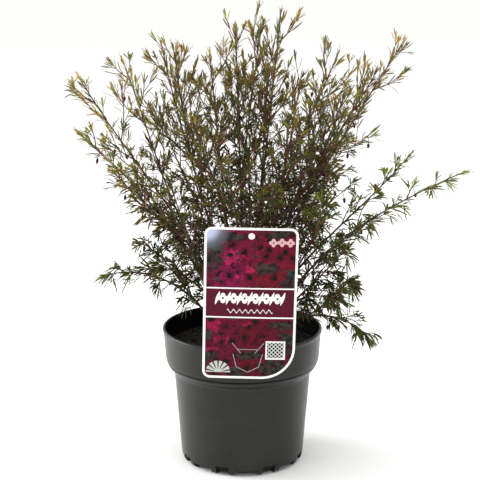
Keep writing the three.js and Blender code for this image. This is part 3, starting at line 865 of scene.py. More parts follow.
def printMaterial():
    material, tree, shader = newMaterial("labelPrint")
    sheet = output(addNode(tree, "UVMap", uv_map="sheet"))
    flat = calcVector("SCALE", {0: sheet, "Scale": 1000.0})
    x, z, _ = axes(flat)
    low, top = labelPrint["band"]
    middle, half, bandHalf = (0.0, 0.5 * (low + top)), 0.5 * label["width"], 0.5 * (top - low)
    panel, panelHalf = labelPrint["panelCentre"], labelPrint["panelHalf"]
    paneHalf = panelHalf - labelPrint["panelFrame"]
    white, mark, border = labelPrint["white"], labelPrint["holeMark"], labelPrint["border"]
    holeGap = calcVector("DISTANCE", {0: flat, 1: (*label["hole"], 0.0)}, "Value")
    # masks and colours, each printed over the last
    layers = [
        (insideBox(x, z, middle, (half, bandHalf + labelPrint["rule"]), 0.08), white),
        (insideBox(x, z, middle, (half, bandHalf), 0.08), labelPrint["maroon"]),
        (friezeMask(x, z), white),
        (insideBox(x, z, panel, (panelHalf, panelHalf), 0.1), white),
        (insideBox(x, z, panel, (paneHalf, paneHalf), 0.1),
         mixColours(trellisMask(x, z), *labelPrint["lattice"])),
        *[(flowerMask(x, z, place, 4.4), labelPrint["sprig"]) for place in labelPrint["sprigPlaces"]],
        (shellMask(x, z), labelPrint["shell"]),
        (mapRange(holeGap, mark + 0.1, mark - 0.1), white),
        (creaseMask(flat) * 0.55, labelPrint["creaseColour"]),
        (mapRange(edgeGap(x, z), border + 0.08, border - 0.08), white),
    ]
    printed = flowerPicture(flat, x, z)
    for mask, colour in layers:
        printed = mixColours(mask, printed, colour)
    tone, _ = mottled(objectCoordinates(tree), 60.0, 0.5)
    feed(shader, {"Base Color": printed, "Specular IOR Level": 0.1,
                  "Roughness": mapRange(tone, 0.0, 1.0, 0.3, 0.42)})
    return material


def sheetMaterial():
    material, tree, shader = newMaterial("labelSheet")
    tone, _ = mottled(objectCoordinates(tree), 80.0, 0.5)
    colour = mixColours(tone, (0.86, 0.86, 0.84), labelPrint["white"])
    feed(shader, {"Base Color": colour, "Roughness": 0.4})
    return material


def strapPart():
    # a flat strap, 4 points round, follows its bend over the rim and down
    thick, reach, seat = label["thickness"], label["hookReach"], label["hookSeat"]
    low = seat - label["hookDrop"]
    inner = roundedOutline([(-0.4, seat, 0), (reach - thick, seat, 0.3), (reach - thick, low, 0)], 5, 3)
    outer = roundedOutline([(-0.4, seat + thick, 0), (reach, seat + thick, 1.1), (reach, low, 0)], 5, 3)
    left = label["hookX"] - 0.5 * label["hookWidth"]
    right = left + label["hookWidth"]
    corners = [(inner, right), (outer, right), (outer, left), (inner, left)]
    points = np.stack([np.stack([np.full(len(line), x), line[:, 0], line[:, 1]], axis=-1)
                       for line, x in corners], axis=1)
    last = 4 * (len(inner) - 1)
    ends = np.array([(3, 2, 1, 0), (last, last + 1, last + 2, last + 3)])
    return {"points": points.reshape(-1, 3), "faces": [quadGrid(len(inner), 4, True), ends]}


def makeLabel():
    # the flat outline is filled and bevelled, cut into upright strips, then bowed and stood in place
    curve = bpy.data.curves.new("labelOutline", "CURVE")
    curve.dimensions = "2D"
    curve.fill_mode = "BOTH"
    curve.extrude = (0.5 * label["thickness"] - label["bevel"]) * mm
    curve.bevel_depth = label["bevel"] * mm
    curve.bevel_resolution = 1
    curve.offset = -label["bevel"] * mm
    for outline in labelOutlines():
        spline = curve.splines.new("POLY")
        spline.points.add(len(outline) - 1)
        spline.points.foreach_set("co", np.pad(outline * mm, ((0, 0), (0, 2))).astype(np.float32).ravel())
        spline.use_cyclic_u = True
    holder = bpy.data.objects.new("labelOutline", curve)
    bpy.context.scene.collection.objects.link(holder)
    mesh = bpy.data.meshes.new_from_object(holder)
    bpy.data.objects.remove(holder)

    work = bmesh.new()
    work.from_mesh(mesh)
    bmesh.ops.remove_doubles(work, verts=work.verts, dist=2e-6)
    half = 0.5 * label["width"]
    for x in np.arange(-half + label["stripWidth"], half - 1.0, label["stripWidth"]):
        everything = work.verts[:] + work.edges[:] + work.faces[:]
        bmesh.ops.bisect_plane(work, geom=everything, dist=1e-7, plane_co=(x * mm, 0, 0),
                               plane_no=(1, 0, 0))
    bmesh.ops.triangulate(work, faces=[face for face in work.faces if len(face.verts) > 4])
    bmesh.ops.recalc_face_normals(work, faces=work.faces)
    work.to_mesh(mesh)
    strap = makeMesh("strap", [strapPart()], [])
    flat = readValues(mesh.vertices, "co", 3).astype(float) / mm
    setPlaces(mesh, np.stack([flat[:, 0], -0.5 * label["thickness"] - flat[:, 2], flat[:, 1]], axis=-1))
    work.clear()
    work.from_mesh(mesh)
    work.from_mesh(strap)
    work.to_mesh(mesh)
    work.free()
    bpy.data.meshes.remove(strap)
    mesh.update(calc_edges=True)

    # the print's own map is the upright sheet's x and z, and only faces that look forward carry it
    local = readValues(mesh.vertices, "co", 3).astype(float) / mm
    front = readValues(mesh.polygons, "normal", 3)[:, 1] < -0.9
    corners = readValues(mesh.loops, "vertex_index", 1, np.int32)[:, 0]
    layer = mesh.uv_layers.new(name="sheet")
    layer.data.foreach_set("uv", (local[corners][:, [0, 2]] * mm).astype(np.float32).ravel())
    mesh.materials.append(printMaterial())
    mesh.materials.append(sheetMaterial())
    mesh.polygons.foreach_set("material_index", np.where(front, 0, 1).astype(np.int32))
    mesh.polygons.foreach_set("use_smooth", np.ones(len(mesh.polygons), dtype=bool))
    setPlaces(mesh, labelPlace(local))
    mesh.update()
    mesh.set_sharp_from_angle(angle=math.radians(35.0))
    makePiece("plantLabel", mesh, "label")
    print("label made,", len(mesh.polygons), "faces")


# The shrub: each stem forks into two leaders, which carry side shoots, twigs and leaves

stems = {
    # tips of both leaders, the share of the first where the second leaves it, how far each end
    # turns up, how much of its slant the stem already has at its foot, and how full its growth is
    "leafy_stem_01": ((-170, -20, 424), (-129, 40, 434), 0.3, (0.0, 0.0), 0.5, 1.05),
    "leafy_stem_02": ((-180, 30, 357), (-138, -50, 332), 0.25, (-0.3, -0.1), 0.45, 0.8),
    "leafy_stem_03": ((-84, -10, 456), (-71, -34, 459), 0.5, (0.2, 0.2), 0.7, 1.15),
    "leafy_stem_04": ((-33, -60, 456), (-51, -110, 399), 0.35, (0.2, 0.1), 0.6, 1.15),
    "leafy_stem_05": ((-7, 20, 472), (18, -20, 475), 0.35, (0.1, 0.1), 0.6, 1.15),
    "leafy_stem_06": ((40, 0, 490), (26, -70, 446), 0.3, (0.1, 0.1), 1.0, 1.2),
    "leafy_stem_07": ((98, -64, 456), (52, -110, 395), 0.35, (-0.25, 0.1), 0.35, 1.15),
    "leafy_stem_08": ((98, 50, 412), (145, 30, 424), 0.35, (0.2, 0.0), 0.6, 1.1),
    "leafy_stem_09": ((170, 0, 460), (105, -40, 411), 0.3, (-0.15, 0.2), 0.5, 1.05),
    "leafy_stem_10": ((176, -40, 348), (85, -130, 324), 0.25, (0.0, 0.1), 0.55, 0.5),
    "leafy_stem_11": ((243, 10, 317), (152, 90, 252), 0.25, (-0.3, 0.1), 0.5, 0.34),
    "leafy_stem_12": ((138, -30, 131), (132, 30, 186), 0.35, (-1.6, -0.5), 0.45, 0.5),
    "leafy_stem_13": ((-157, -20, 203), (-122, 50, 230), 0.25, (-0.75, -0.4), 0.3, 0.36),
    "leafy_stem_14": ((-100, -60, 236), (-75, -120, 342), 0.25, (-0.4, 0.1), 0.35, 0.6),
    "leafy_stem_15": ((-15, -150, 350), (38, -140, 318), 0.45, (-0.4, -0.5), 0.2, 1.0),
    "leafy_stem_16": ((120, 130, 346), (89, 160, 248), 0.25, (0.2, 0.1), 0.7, 0.9),
    "leafy_stem_17": ((-125, 120, 303), (-48, 170, 257), 0.25, (0.2, 0.1), 0.7, 0.8),
    "leafy_stem_18": ((9, 170, 327), (44, 180, 262), 0.25, (0.1, 0.1), 0.7, 1.0),
    "leafy_stem_19": ((-92, 110, 362), (-13, 100, 417), 0.3, (0.1, 0.2), 0.7, 1.1),
    "leafy_stem_20": ((64, 120, 392), (100, 70, 330), 0.3, (0.2, 0.1), 0.7, 1.1),
    "leafy_stem_21": ((114, -70, 262), (110, -80, 196), 0.3, (0.1, -0.3), 0.6, 1.1),
}

growth = {
    # lists of two or three are for leaders, side shoots and twigs
    "crownHeight": 134.0,
    "crownRadius": 27.0,
    "widestLean": 60.0,
    "rootDepth": 20.0,
    "radii": [(1.7, 0.5), (0.75, 0.42), (0.42, 0.3)],   # at the foot and at the tip
    "pointCounts": [26, 11, 6],
    "forkedRadius": 0.85,
    "handles": (0.36, 0.34),
    "tipGap": 10.0,
    "shootOrders": [0, 1, 2, 3, 4, 2.5, 3.5, 4.5],
    "shootShares": (0.24, 0.15),
    "shootLength": (0.3, 0.045, 0.4),
    "shootSlant": (1.03, 0.35),         # at its start and at its end, as a share of the stem's direction
    "goldenAngle": math.radians(137.5),
    "twigLength": (11.0, 36.0),
    "twigSlant": (66.0, 36.0),          # low in the shrub, high in it
    "twigRise": (-0.25, 1.2),
    "twigSpacing": 14.0,
    "twigStart": [0.25, 0.12],
    "leafSpacing": [11.0, 10.0, 7.6],
    "leafStart": [0.2, 0.08, 0.2],
    "leafScale": [1.0, 0.97, 0.85],
    "youngAtTip": [0.3, 0.5, 0.8],
    "crowding": 1.6,
    "tufts": [(8, 1.2, 1.0), (6, 1.1, 0.95), (4, 1.0, 0.85)],   # leaves, how young, scale
    "tuftLength": 8.0,
    "reachFactors": (0.45, 1.15),
    "lowest": 150.0,
    "highest": 480.0,
}

leafForm = {
    "length": (22.5, 20.5),   # low in the shrub, high in it, and so for the next four
    "width": (2.1, 1.75),
    "angle": (54.0, 31.0),
    "droop": (0.4, 0.03),
    "threePart": (0.35, 0.05),
    "tipLoss": (0.42, 0.2, 0.45),   # share of length, width and angle lost towards a twig's tip
    "hooked": 0.14,
    "outline": [0.3, 0.4, 1.0, 0.78],
    "steps": [0.0, 0.45, 0.82],
}

bud = {
    "length": (4.6, 6.4),
    "stalk": (4.5, 8.0),
    "width": 3.1,
    "rings": 7,
    "sides": 8,
    "spacing": 7.0,
    "share": 0.12,
    "shareFactors": (1.6, 0.04),   # low in the shrub, high in it
}

keepFree = {
    # no leaves or twigs in front of the label, in the pot's wall or in the potting mix
    "labelBox": (-52.0, 66.0, -76.0, 283.0),
    "insideRim": (78.0, 133.0),
    "outsideRim": (90.0, 151.5),
}


def isFree(points):
    # true where a point is clear of the label, the pot and the potting mix
    left, right, front, top = keepFree["labelBox"]
    x, y, z = points[..., 0], points[..., 1], points[..., 2]
    byLabel = (y < front) & (z < top) & (x > left) & (x < right)
    radius = np.hypot(x, y)
    inMix = (radius < keepFree["insideRim"][0]) & (z < keepFree["insideRim"][1])
    byRim = ((radius >= keepFree["insideRim"][0]) & (radius < keepFree["outsideRim"][0])
             & (z < keepFree["outsideRim"][1]))
    return ~(byLabel | inMix | byRim)


def draw(seed):
    # a number from 0 to 1 that is always the same for one seed
    value = math.sin(seed * 12.9898 + 4.1414) * 43758.5453
    return value - math.floor(value)


def bezier(controls, shares):
    # control points are weighed by n!/(i!(n-i)!) (1-s)^(n-i) s^i; controls are (..., n+1, 3)
    degree = controls.shape[-2] - 1
    weights = np.stack([math.comb(degree, i) * (1 - shares) ** (degree - i) * shares ** i
                        for i in range(degree + 1)], axis=-1)
    return weights @ controls


def rodBatch(points, reference, radii):
    # each rod carries a frame: its tangent, the reference direction squared to it, and their cross product
    tangents = unit(np.gradient(points, axis=1))
    reference = np.broadcast_to(reference[:, None], points.shape)
    across = unit(reference - tangents * np.sum(reference * tangents, axis=-1, keepdims=True))
    length = np.linalg.norm(np.diff(points, axis=1), axis=-1).sum(axis=1)
    return {"points": points, "tangents": tangents, "across": across,
            "other": np.cross(tangents, across), "radii": radii, "length": length}


def pickRods(rods, chosen):
    return {key: value[chosen] for key, value in rods.items()}


def placesAlong(rods, spacing, first, last, rng, crowding=1.0):
    # places with some play, as rows of rod number, share and order: the share of the way is
    # 1 - (1 - t)^crowding for even steps of t, so that they draw together towards the tip
    count = np.maximum(((last - first) * rods["length"] / spacing).astype(int), 1)
    rod = np.repeat(np.arange(len(count)), count)
    order = np.arange(len(rod)) - np.repeat(np.cumsum(count) - count, count)
    even = (order + rng.uniform(0.25, 0.75, len(rod))) / count[rod]
    return rod, first + (last - first) * (1.0 - (1.0 - even) ** crowding), order


def readRods(rods, rod, share):
    # values between a rod's points: position, tangent and both directions across
    last = rods["points"].shape[1] - 1
    low = np.minimum((share * last).astype(int), last - 1)
    part = (share * last - low)[:, None]
    return [lerp(rods[key][rod, low], rods[key][rod, low + 1], part)
            for key in ("points", "tangents", "across", "other")]


def heightShare(points):
    return smooth(growth["lowest"], growth["highest"], points[..., 2])


def reachFactor(outward):
    # growth that sets out downward stays short, and growth that sets out upward is a little longer
    low, high = growth["reachFactors"]
    down, rise = smooth(0.1, 0.8, -outward[:, 2:]), smooth(0.0, 0.8, outward[:, 2:])
    return 1.0 + (low - 1.0) * down + (high - 1.0) * rise


def leaderRods(name):
    # both leaders are cubic curves from the crown to the tips; the second starts on the first
    firstTip, secondTip, fork, rises, lean, _ = stems[name]
    tips = np.array([firstTip, secondTip], dtype=float)
    middle = tips.mean(axis=0)
    azimuth = math.atan2(middle[1], middle[0])
    slant = math.atan2(math.hypot(middle[0], middle[1]), middle[2] - growth["crownHeight"])
    outward = np.array([math.cos(azimuth), math.sin(azimuth), 0.0])
    reach = growth["crownRadius"] * min(1.0, slant / math.radians(growth["widestLean"]))
    start = outward * reach + up * growth["crownHeight"]
    direction = outward * math.sin(slant * lean) + up * math.cos(slant * lean)
    shares = np.linspace(0.0, 1.0, growth["pointCounts"][0])
    curves = []
    for tip, rise in zip(tips, rises):
        span = np.linalg.norm(tip - start)
        ending = unit((tip - start) / span + up * rise)
        end = tip - ending * growth["tipGap"]
        first, second = growth["handles"]
        controls = np.array([start, start + direction * first * span, end - ending * second * span, end])
        curves.append(bezier(controls, shares))
        start = bezier(controls, np.array([fork]))[0]
        direction = unit(bezier(np.diff(controls, axis=0), np.array([fork])))[0]
    side = np.array([-math.sin(azimuth), math.cos(azimuth), 0.0])
    thick, thin = growth["radii"][0]
    forked = growth["forkedRadius"] * lerp(thick, thin, fork)
    radii = np.stack([lerp(thick, thin, shares), lerp(forked, thin, shares)])
    return rodBatch(np.stack(curves), np.stack([side, side]), radii)


def grownRods(controls, across, kind):
    # tapering rods along Bezier curves, without those that would touch the label, the pot or the mix
    shares = np.linspace(0.0, 1.0, growth["pointCounts"][kind])
    points = bezier(controls, shares)
    radii = np.tile(lerp(*growth["radii"][kind], shares), (len(points), 1))
    return pickRods(rodBatch(points, across, radii), isFree(points).all(axis=1))


def shootRods(leaders, number, fullness):
    # side shoots of a leader stand a golden angle apart, shorter towards its tip and bent upward
    orders = np.array(growth["shootOrders"])
    first, step = growth["shootShares"]
    length, shorter, variation = growth["shootLength"]
    rod = np.repeat([0, 1], len(orders))
    order = np.tile(orders, 2)
    seeds = number * 31 + rod * 7 + order
    point, tangent, across, other = readRods(leaders, rod, first + step * order)
    turn = (growth["goldenAngle"] * order + 1.7 * seeds)[:, None]
    outward = across * np.cos(turn) + other * np.sin(turn)
    chance = np.array([draw(seed + 0.5) for seed in seeds]) - 0.5
    long = (leaders["length"][rod] * (length - shorter * order) * (1 + variation * chance))[:, None]
    long = long * fullness * reachFactor(outward)
    early, late = growth["shootSlant"]
    start = unit(tangent + early * outward)
    end = unit(tangent + late * outward + 0.25 * up)
    bend = point + 0.5 * long * start
    tip = bend + long * (0.05 * start + 0.45 * end)
    return grownRods(np.stack([point, bend, tip], axis=1), across, 1)


def twigRods(rods, kind, fullness, rng):
    # short twigs stand a golden angle apart, rise high in the shrub and sink low in it
    spacing = growth["twigSpacing"] / fullness
    rod, share, order = placesAlong(rods, spacing, growth["twigStart"][kind], 0.97, rng)
    point, tangent, across, other = readRods(rods, rod, share)
    turn = (growth["goldenAngle"] * order + 2.4 * rod + rng.uniform(-0.4, 0.4, len(rod)))[:, None]
    outward = across * np.cos(turn) + other * np.sin(turn)
    high = heightShare(point)[:, None]
    spread = np.radians(lerp(*growth["twigSlant"], high) + rng.normal(0.0, 7.0, high.shape))
    start = unit(tangent * np.cos(spread) + outward * np.sin(spread))
    end = unit(start + up * lerp(*growth["twigRise"], high))
    low, top = growth["twigLength"]
    long = (lerp(low, top, rng.random(len(rod)) ** 1.6) * (1.0 - 0.5 * share ** 2))[:, None]
    long = long * fullness * reachFactor(outward)
    bend = point + 0.5 * long * start
    return grownRods(np.stack([point, bend, bend + 0.5 * long * end], axis=1), across, 2)


def rodPart(rods, sides, youth, rng):
    # rings of points round each rod, closed by a point at either end
    points, radii = rods["points"], rods["radii"][..., None, None]
    count, rings = points.shape[:2]
    angles = np.linspace(0.0, 2 * math.pi, sides, endpoint=False)[:, None]
    spokes = rods["across"][:, :, None] * np.cos(angles) + rods["other"][:, :, None] * np.sin(angles)
    wall = (points[:, :, None] + radii * spokes).reshape(count, -1, 3)
    ends = np.stack([points[:, 0], points[:, -1] + rods["tangents"][:, -1] * rods["radii"][:, -1:]], axis=1)
    size = rings * sides + 2
    here = np.arange(sides)
    after = (here + 1) % sides
    last = (rings - 1) * sides
    foot = np.stack([after, here, np.full(sides, size - 2)], axis=-1)
    tip = np.stack([last + here, last + after, np.full(sides, size - 1)], axis=-1)
    shift = (size * np.arange(count))[:, None, None]
    along = np.concatenate([np.repeat(np.linspace(0.0, 1.0, rings), sides), [0.0, 1.0]])
    low, high = youth
    return {
        "points": np.concatenate([wall, ends], axis=1).reshape(-1, 3),
        "faces": [(grid + shift).reshape(-1, grid.shape[1])
                  for grid in (quadGrid(rings, sides, True), np.concatenate([foot, tip]))],
        "material": 1,
        "values": {"along": np.tile(along, count), "young": np.tile(lerp(low, high, along), count),
                   "chance": np.repeat(rng.random(count), size)},
    }


def leafRows(rods, kind, rng):
    # opposite pairs, each pair a quarter turn on from the last, closer together towards the tip
    spacing, first = growth["leafSpacing"][kind], growth["leafStart"][kind]
    rod, share, order = placesAlong(rods, spacing, first, 0.97, rng, growth["crowding"])
    point, tangent, across, other = readRods(rods, rod, share)
    turn = rng.uniform(0.0, math.pi, len(rods["length"]))[rod] + 0.5 * math.pi * order
    turn = np.stack([turn, turn + math.pi]) + rng.normal(0.0, 0.18, (2, len(rod)))
    outward = across * np.cos(turn)[..., None] + other * np.sin(turn)[..., None]
    share = np.tile(share, 2)
    young = growth["youngAtTip"][kind] * share * np.tile(rng.random(len(rods["length"]))[rod], 2)
    return {"base": np.tile(point, (2, 1)), "tangent": np.tile(tangent, (2, 1)),
            "outward": outward.reshape(-1, 3), "share": share, "young": young,
            "scale": np.full(len(share), growth["leafScale"][kind])}


def tipTufts(rods, kind, rng):
    # small steep leaves stand close round the last few millimetres of each shoot
    leaves, young, scale = growth["tufts"][kind]
    count = len(rods["length"])
    rod = np.repeat(np.arange(count), leaves)
    order = np.tile(np.arange(leaves), count)
    share = 1.0 - order / leaves * np.minimum(growth["tuftLength"] / rods["length"][rod], 0.6)
    point, tangent, across, other = readRods(rods, rod, share)
    turn = (order * growth["goldenAngle"] + rng.uniform(0.0, 6.28, count)[rod])[:, None]
    return {"base": point, "tangent": tangent, "outward": across * np.cos(turn) + other * np.sin(turn),
            "share": 1.15 * share, "young": young * (1.0 - 0.75 * rng.random(count)[rod]),
            "scale": np.full(len(rod), scale)}


def shapeLeaves(rows, rng):
    # adds each leaf's size, slant, bend and droop from its height in the shrub and its share of the twig
    count = len(rows["share"])
    high = heightShare(rows["base"])
    nearTip = np.clip(rows["share"], 0.0, 1.15) ** 2

    def between(name):
        return lerp(*leafForm[name], high)

    shorter, narrower, steeper = (1.0 - loss * nearTip for loss in leafForm["tipLoss"])
    rows["length"] = between("length") * shorter * rng.uniform(0.72, 1.2, count) * rows["scale"]
    rows["width"] = between("width") * rng.uniform(0.8, 1.2, count) * narrower
    rows["slant"] = np.radians(between("angle") * steeper + rng.normal(0.0, 9.0, count))
    rows["droop"] = between("droop") * rng.uniform(0.3, 1.5, count)
    hooked = rng.random(count) < leafForm["hooked"]
    rows["bend"] = np.where(hooked, rng.uniform(0.35, 0.7, count), rng.uniform(-0.2, 0.3, count))
    rows["threePart"] = rng.random(count) < between("threePart") * (nearTip < 0.8)
    rows["petiole"] = np.where(rows["threePart"], 0.42, 0.1)
    rows["chance"] = rng.random(count)
    rows["young"] = np.clip(rows["young"] + rng.normal(0.0, 0.12, count), 0.0, 1.0) * lerp(0.75, 1.0, high)
    cos, sin = np.cos(rows["slant"])[:, None], np.sin(rows["slant"])[:, None]
    rows["direction"] = rows["tangent"] * cos + rows["outward"] * sin
    rows["face"] = unit(rows["tangent"] * sin - rows["outward"] * cos)
    return rows


def leafLine(rows, shares):
    # position = base + length (s direction + s^2 (bend face - droop up)), and its slope
    s = shares[..., None]
    curve = rows["bend"][:, None] * rows["face"] - rows["droop"][:, None] * up
    place = rows["base"][:, None] + rows["length"][:, None, None] * (
        s * rows["direction"][:, None] + s ** 2 * curve[:, None])
    return place, unit(rows["direction"][:, None] + 2 * s * curve[:, None])


def sideLeaflets(rows, rng):
    # a three-part leaf has a shorter leaflet to either side of its stalk's end
    rows = {key: value[rows["threePart"]] for key, value in rows.items()}
    place, slope = leafLine(rows, rows["petiole"][:, None])
    side = np.cross(slope[:, 0], rows["face"])
    sets = []
    for hand in (-1.0, 1.0):
        leaflet = dict(rows)
        leaflet["base"] = place[:, 0]
        leaflet["direction"] = unit(slope[:, 0] + hand * side * rng.uniform(0.6, 1.1, (len(side), 1)))
        leaflet["length"] = rows["length"] * rng.uniform(0.5, 0.68, len(side))
        leaflet["petiole"] = np.full(len(side), 0.1)
        leaflet["width"] = rows["width"] * 0.9
        sets.append(leaflet)
    return sets


def joinRows(sets):
    return {key: np.concatenate([rows[key] for rows in sets]) for key in sets[0]}


def leafPart(rows):
    # four points round the blade at four places, and one at the tip; the edges stand a little higher
    petiole = rows["petiole"][:, None]
    steps = np.array(leafForm["steps"])
    shares = np.concatenate([np.zeros_like(petiole), petiole + (1.0 - petiole) * steps,
                             np.ones_like(petiole)], axis=1)
    place, slope = leafLine(rows, shares)
    free = isFree(place).all(axis=1)
    rows = {key: value[free] for key, value in rows.items()}
    place, slope, shares = place[free], slope[free], shares[free]
    side = unit(np.cross(slope, rows["face"][:, None]))
    normal = np.cross(side, slope)
    half = (0.5 * rows["width"][:, None] * np.array(leafForm["outline"]))[..., None]
    middle, side, normal = place[:, :-1], side[:, :-1], normal[:, :-1]
    ring = np.stack([middle + half * (side + 0.2 * normal), middle - half * 0.3 * normal,
                     middle + half * (0.2 * normal - side), middle + half * 0.08 * normal], axis=2)
    count, rings = ring.shape[:2]
    points = np.concatenate([ring.reshape(count, -1, 3), place[:, -1:]], axis=1)
    size = 4 * rings + 1
    here = np.arange(4)
    last = 4 * (rings - 1)
    tip = np.stack([last + here, last + (here + 1) % 4, np.full(4, size - 1)], axis=-1)
    shift = (size * np.arange(count))[:, None, None]
    faces = [(grid + shift).reshape(-1, grid.shape[1])
             for grid in (quadGrid(rings, 4, True), np.array([(3, 2, 1, 0)]), tip)]
    along = np.concatenate([np.repeat(shares[:, :-1], 4, axis=1), shares[:, -1:]], axis=1)
    return {
        "points": points.reshape(-1, 3), "faces": faces, "material": 0,
        "values": {"along": along.ravel(), "young": np.repeat(rows["young"], size),
                   "chance": np.repeat(rows["chance"], size)},
    }


def budParts(rods, rng):
    # hanging buds: a thin bent stalk and an egg-shaped bud at its end
    rod, share, _ = placesAlong(rods, bud["spacing"], 0.1, 0.95, rng)
    point, _, across, other = readRods(rods, rod, share)
    turn = rng.uniform(0.0, 6.28, (len(rod), 1))
    outward = unit(across * np.cos(turn) + other * np.sin(turn) - 0.3 * up)
    wanted = rng.random(len(rod)) < bud["share"] * lerp(*bud["shareFactors"], heightShare(point))
    chosen = wanted & isFree(point - 16.0 * up) & isFree(point + 8.0 * outward)
    point, outward = point[chosen], outward[chosen]
    count = len(point)
    if count == 0:
        return []
    stalk = rng.uniform(*bud["stalk"], (count, 1))
    hang = unit(0.35 * outward - up)
    bend = point + 0.5 * stalk * outward
    controls = np.stack([point, bend, point + stalk * (0.5 * outward + 0.5 * hang)], axis=1)
    shares = np.linspace(0.0, 1.0, 5)
    stalks = rodBatch(bezier(controls, shares), np.cross(outward, up) + 1e-4,
                      np.tile(lerp(0.28, 0.42, shares), (count, 1)))
    length = rng.uniform(*bud["length"], (count, 1, 1))
    rise = 0.5 - 0.5 * np.cos(np.linspace(0.08, 0.97, bud["rings"]) * math.pi)
    spine = stalks["points"][:, -1:] + hang[:, None] * length * rise[None, :, None]
    swell = np.sqrt(np.maximum(1.0 - (2.0 * rise - 1.0) ** 2, 0.0)) * (1.12 - 0.3 * rise)
    body = rodBatch(spine, np.cross(hang, up) + 1e-4, 0.5 * bud["width"] * np.tile(swell, (count, 1)))
    made = rodPart(body, bud["sides"], (0.0, 1.0), rng)
    made["material"] = 2
    return [rodPart(stalks, 5, (0.8, 0.8), rng), made]


leafColours = {
    # older leaves dark and pale, then young leaves yellow-green and bronze
    "bronzeLeaf": [(0.021, 0.029, 0.013), (0.078, 0.094, 0.045), (0.22, 0.215, 0.026),
                   (0.31, 0.14, 0.026)],
    "greenLeaf": [(0.018, 0.028, 0.011), (0.07, 0.09, 0.042), (0.17, 0.21, 0.024),
                  (0.22, 0.13, 0.016)],
}

barkColours = {
    "wood": [(0.012, 0.007, 0.004), (0.06, 0.036, 0.022)],
    "soft": [(0.23, 0.052, 0.04), (0.13, 0.085, 0.035)],
}


def leafMaterial(name):
    material, tree, shader = newMaterial(name)
    dark, pale, youngGreen, bronze = leafColours[name]
    chance, young, along = (attributeValue(tree, value) for value in ("chance", "young", "along"))
    coordinates = objectCoordinates(tree)
    tone, fine = mottled(coordinates, 380.0, 0.6)
    fresh = mixColours(mapRange(calc("FRACT", chance * 7.3), 0.5, 1.0), youngGreen, bronze)
    mixed = mixColours(young, mixColours(chance * 0.6 + tone * 0.4, dark, pale), fresh)
    # painted shade and light by how far out a leaf hangs: the length of (1.25 x, 0.8 y, 0.8 (z - 0.2)),
    # from 100 to 260 mm, darkens the leaves deep in the crown and brightens the outer ones
    spread = calcVector("MULTIPLY_ADD", {0: coordinates, 1: (1.25, 0.8, 0.8), 2: (0.0, 0.0, -0.16)})
    outer = mapRange(calcVector("LENGTH", {0: spread}, "Value"), 0.1, 0.26, 0.42, 2.0)
    mixed = mixColours(1.0, mixed, outer, "MULTIPLY")
    ruddy = mapRange(axes(coordinates)[2], 0.34, 0.43) * (young * -0.6 + 1.0)
    mixed = mixColours(ruddy, mixed, (1.0, 0.82, 0.95), "MULTIPLY")
    tipped = mixColours(mapRange(along, 0.75, 1.0) * 0.25, mixed, (0.2, 0.05, 0.02))
    stalked = mixColours(mapRange(along, 0.22, 0.0) * 0.5, tipped, (0.14, 0.05, 0.03))
    feed(shader, {"Base Color": stalked, "Roughness": mapRange(tone, 0.0, 1.0, 0.34, 0.55),
                  "Specular IOR Level": 0.06, "Normal": bump(fine, 0.25, 0.0002)})
    return material


def barkMaterial():
    material, tree, shader = newMaterial("stemBark")
    drawn = output(addNode(tree, "Mapping", {"Vector": objectCoordinates(tree), "Scale": (1.0, 1.0, 0.25)}))
    tone, fine = mottled(drawn, 900.0, 0.4)
    soft = mixColours(attributeValue(tree, "chance"), *barkColours["soft"])
    mixed = mixColours(attributeValue(tree, "young"), mixColours(tone, *barkColours["wood"]), soft)
    feed(shader, {"Base Color": mixed, "Roughness": 0.6, "Specular IOR Level": 0.25,
                  "Normal": bump(fine, 0.5, 0.0003)})
    return material


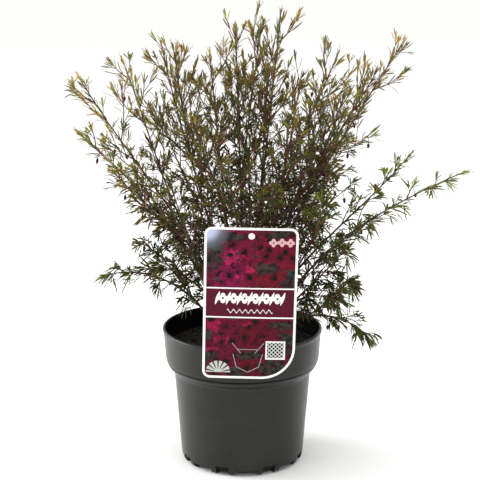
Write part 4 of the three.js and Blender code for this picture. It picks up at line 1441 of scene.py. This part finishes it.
def budMaterial():
    material, tree, shader = newMaterial("budSkin")
    tone, _ = mottled(objectCoordinates(tree), 500.0, 0.5)
    dark = mixColours(tone, (0.03, 0.005, 0.008), (0.075, 0.011, 0.016))
    tip = mapRange(attributeValue(tree, "along"), 0.6, 1.0) * 0.5
    feed(shader, {"Base Color": mixColours(tip, dark, (0.12, 0.02, 0.03)), "Roughness": 0.42,
                  "Specular IOR Level": 0.2})
    return material


def makeStem(name, number, materials):
    rng = np.random.default_rng(100 + number)
    leaders = leaderRods(name)
    fullness = stems[name][-1]
    shoots = shootRods(leaders, number, fullness)
    twigs = [twigRods(leaders, 0, fullness, rng), twigRods(shoots, 1, fullness, rng)]
    rows = [leafRows(leaders, 0, rng), leafRows(shoots, 1, rng),
            tipTufts(leaders, 0, rng), tipTufts(shoots, 1, rng)]
    for each in twigs:
        rows += [leafRows(each, 2, rng), tipTufts(each, 2, rng)]
    leaves = shapeLeaves(joinRows(rows), rng)
    leaves = joinRows([leaves] + sideLeaflets(leaves, rng))
    root = leaders["points"][:1, :1] - up * growth["rootDepth"] * np.linspace(1.0, 0.0, 4)[:, None]
    roots = rodBatch(root, leaders["across"][:1, 0], np.full((1, 4), growth["radii"][0][0]))
    parts = [leafPart(leaves), rodPart(roots, 8, (0.0, 0.0), rng), rodPart(leaders, 8, (0.0, 0.5), rng),
             rodPart(shoots, 6, (0.2, 0.8), rng)]
    parts += [rodPart(each, 5, (0.6, 1.0), rng) for each in twigs]
    parts += budParts(shoots, rng) + budParts(twigs[1], rng)
    mesh = makeMesh(name, parts, materials)
    makePiece(name.replace("leafy_stem_", "leafyStem"), mesh, name)
    triangles = int(sum(faces.shape[0] * (faces.shape[1] - 2) for part in parts for faces in part["faces"]))
    print(name, "made,", len(leaves["share"]), "leaves,", triangles, "triangles")
    return triangles


def makeShrub():
    bark, skin = barkMaterial(), budMaterial()
    leaf = {"bronze_foliage": leafMaterial("bronzeLeaf"), "green_foliage": leafMaterial("greenLeaf")}
    bronzed = [*range(1, 10), 15, 19, 20]
    total = 0
    for number, name in enumerate(stems):
        slot = "bronze_foliage" if number + 1 in bronzed else "green_foliage"
        total += makeStem(name, number, [leaf[slot], bark, skin])
    print("shrub made,", total, "triangles")


makeStudio()
makePot()
makeMix()
makeLabel()
makeShrub()
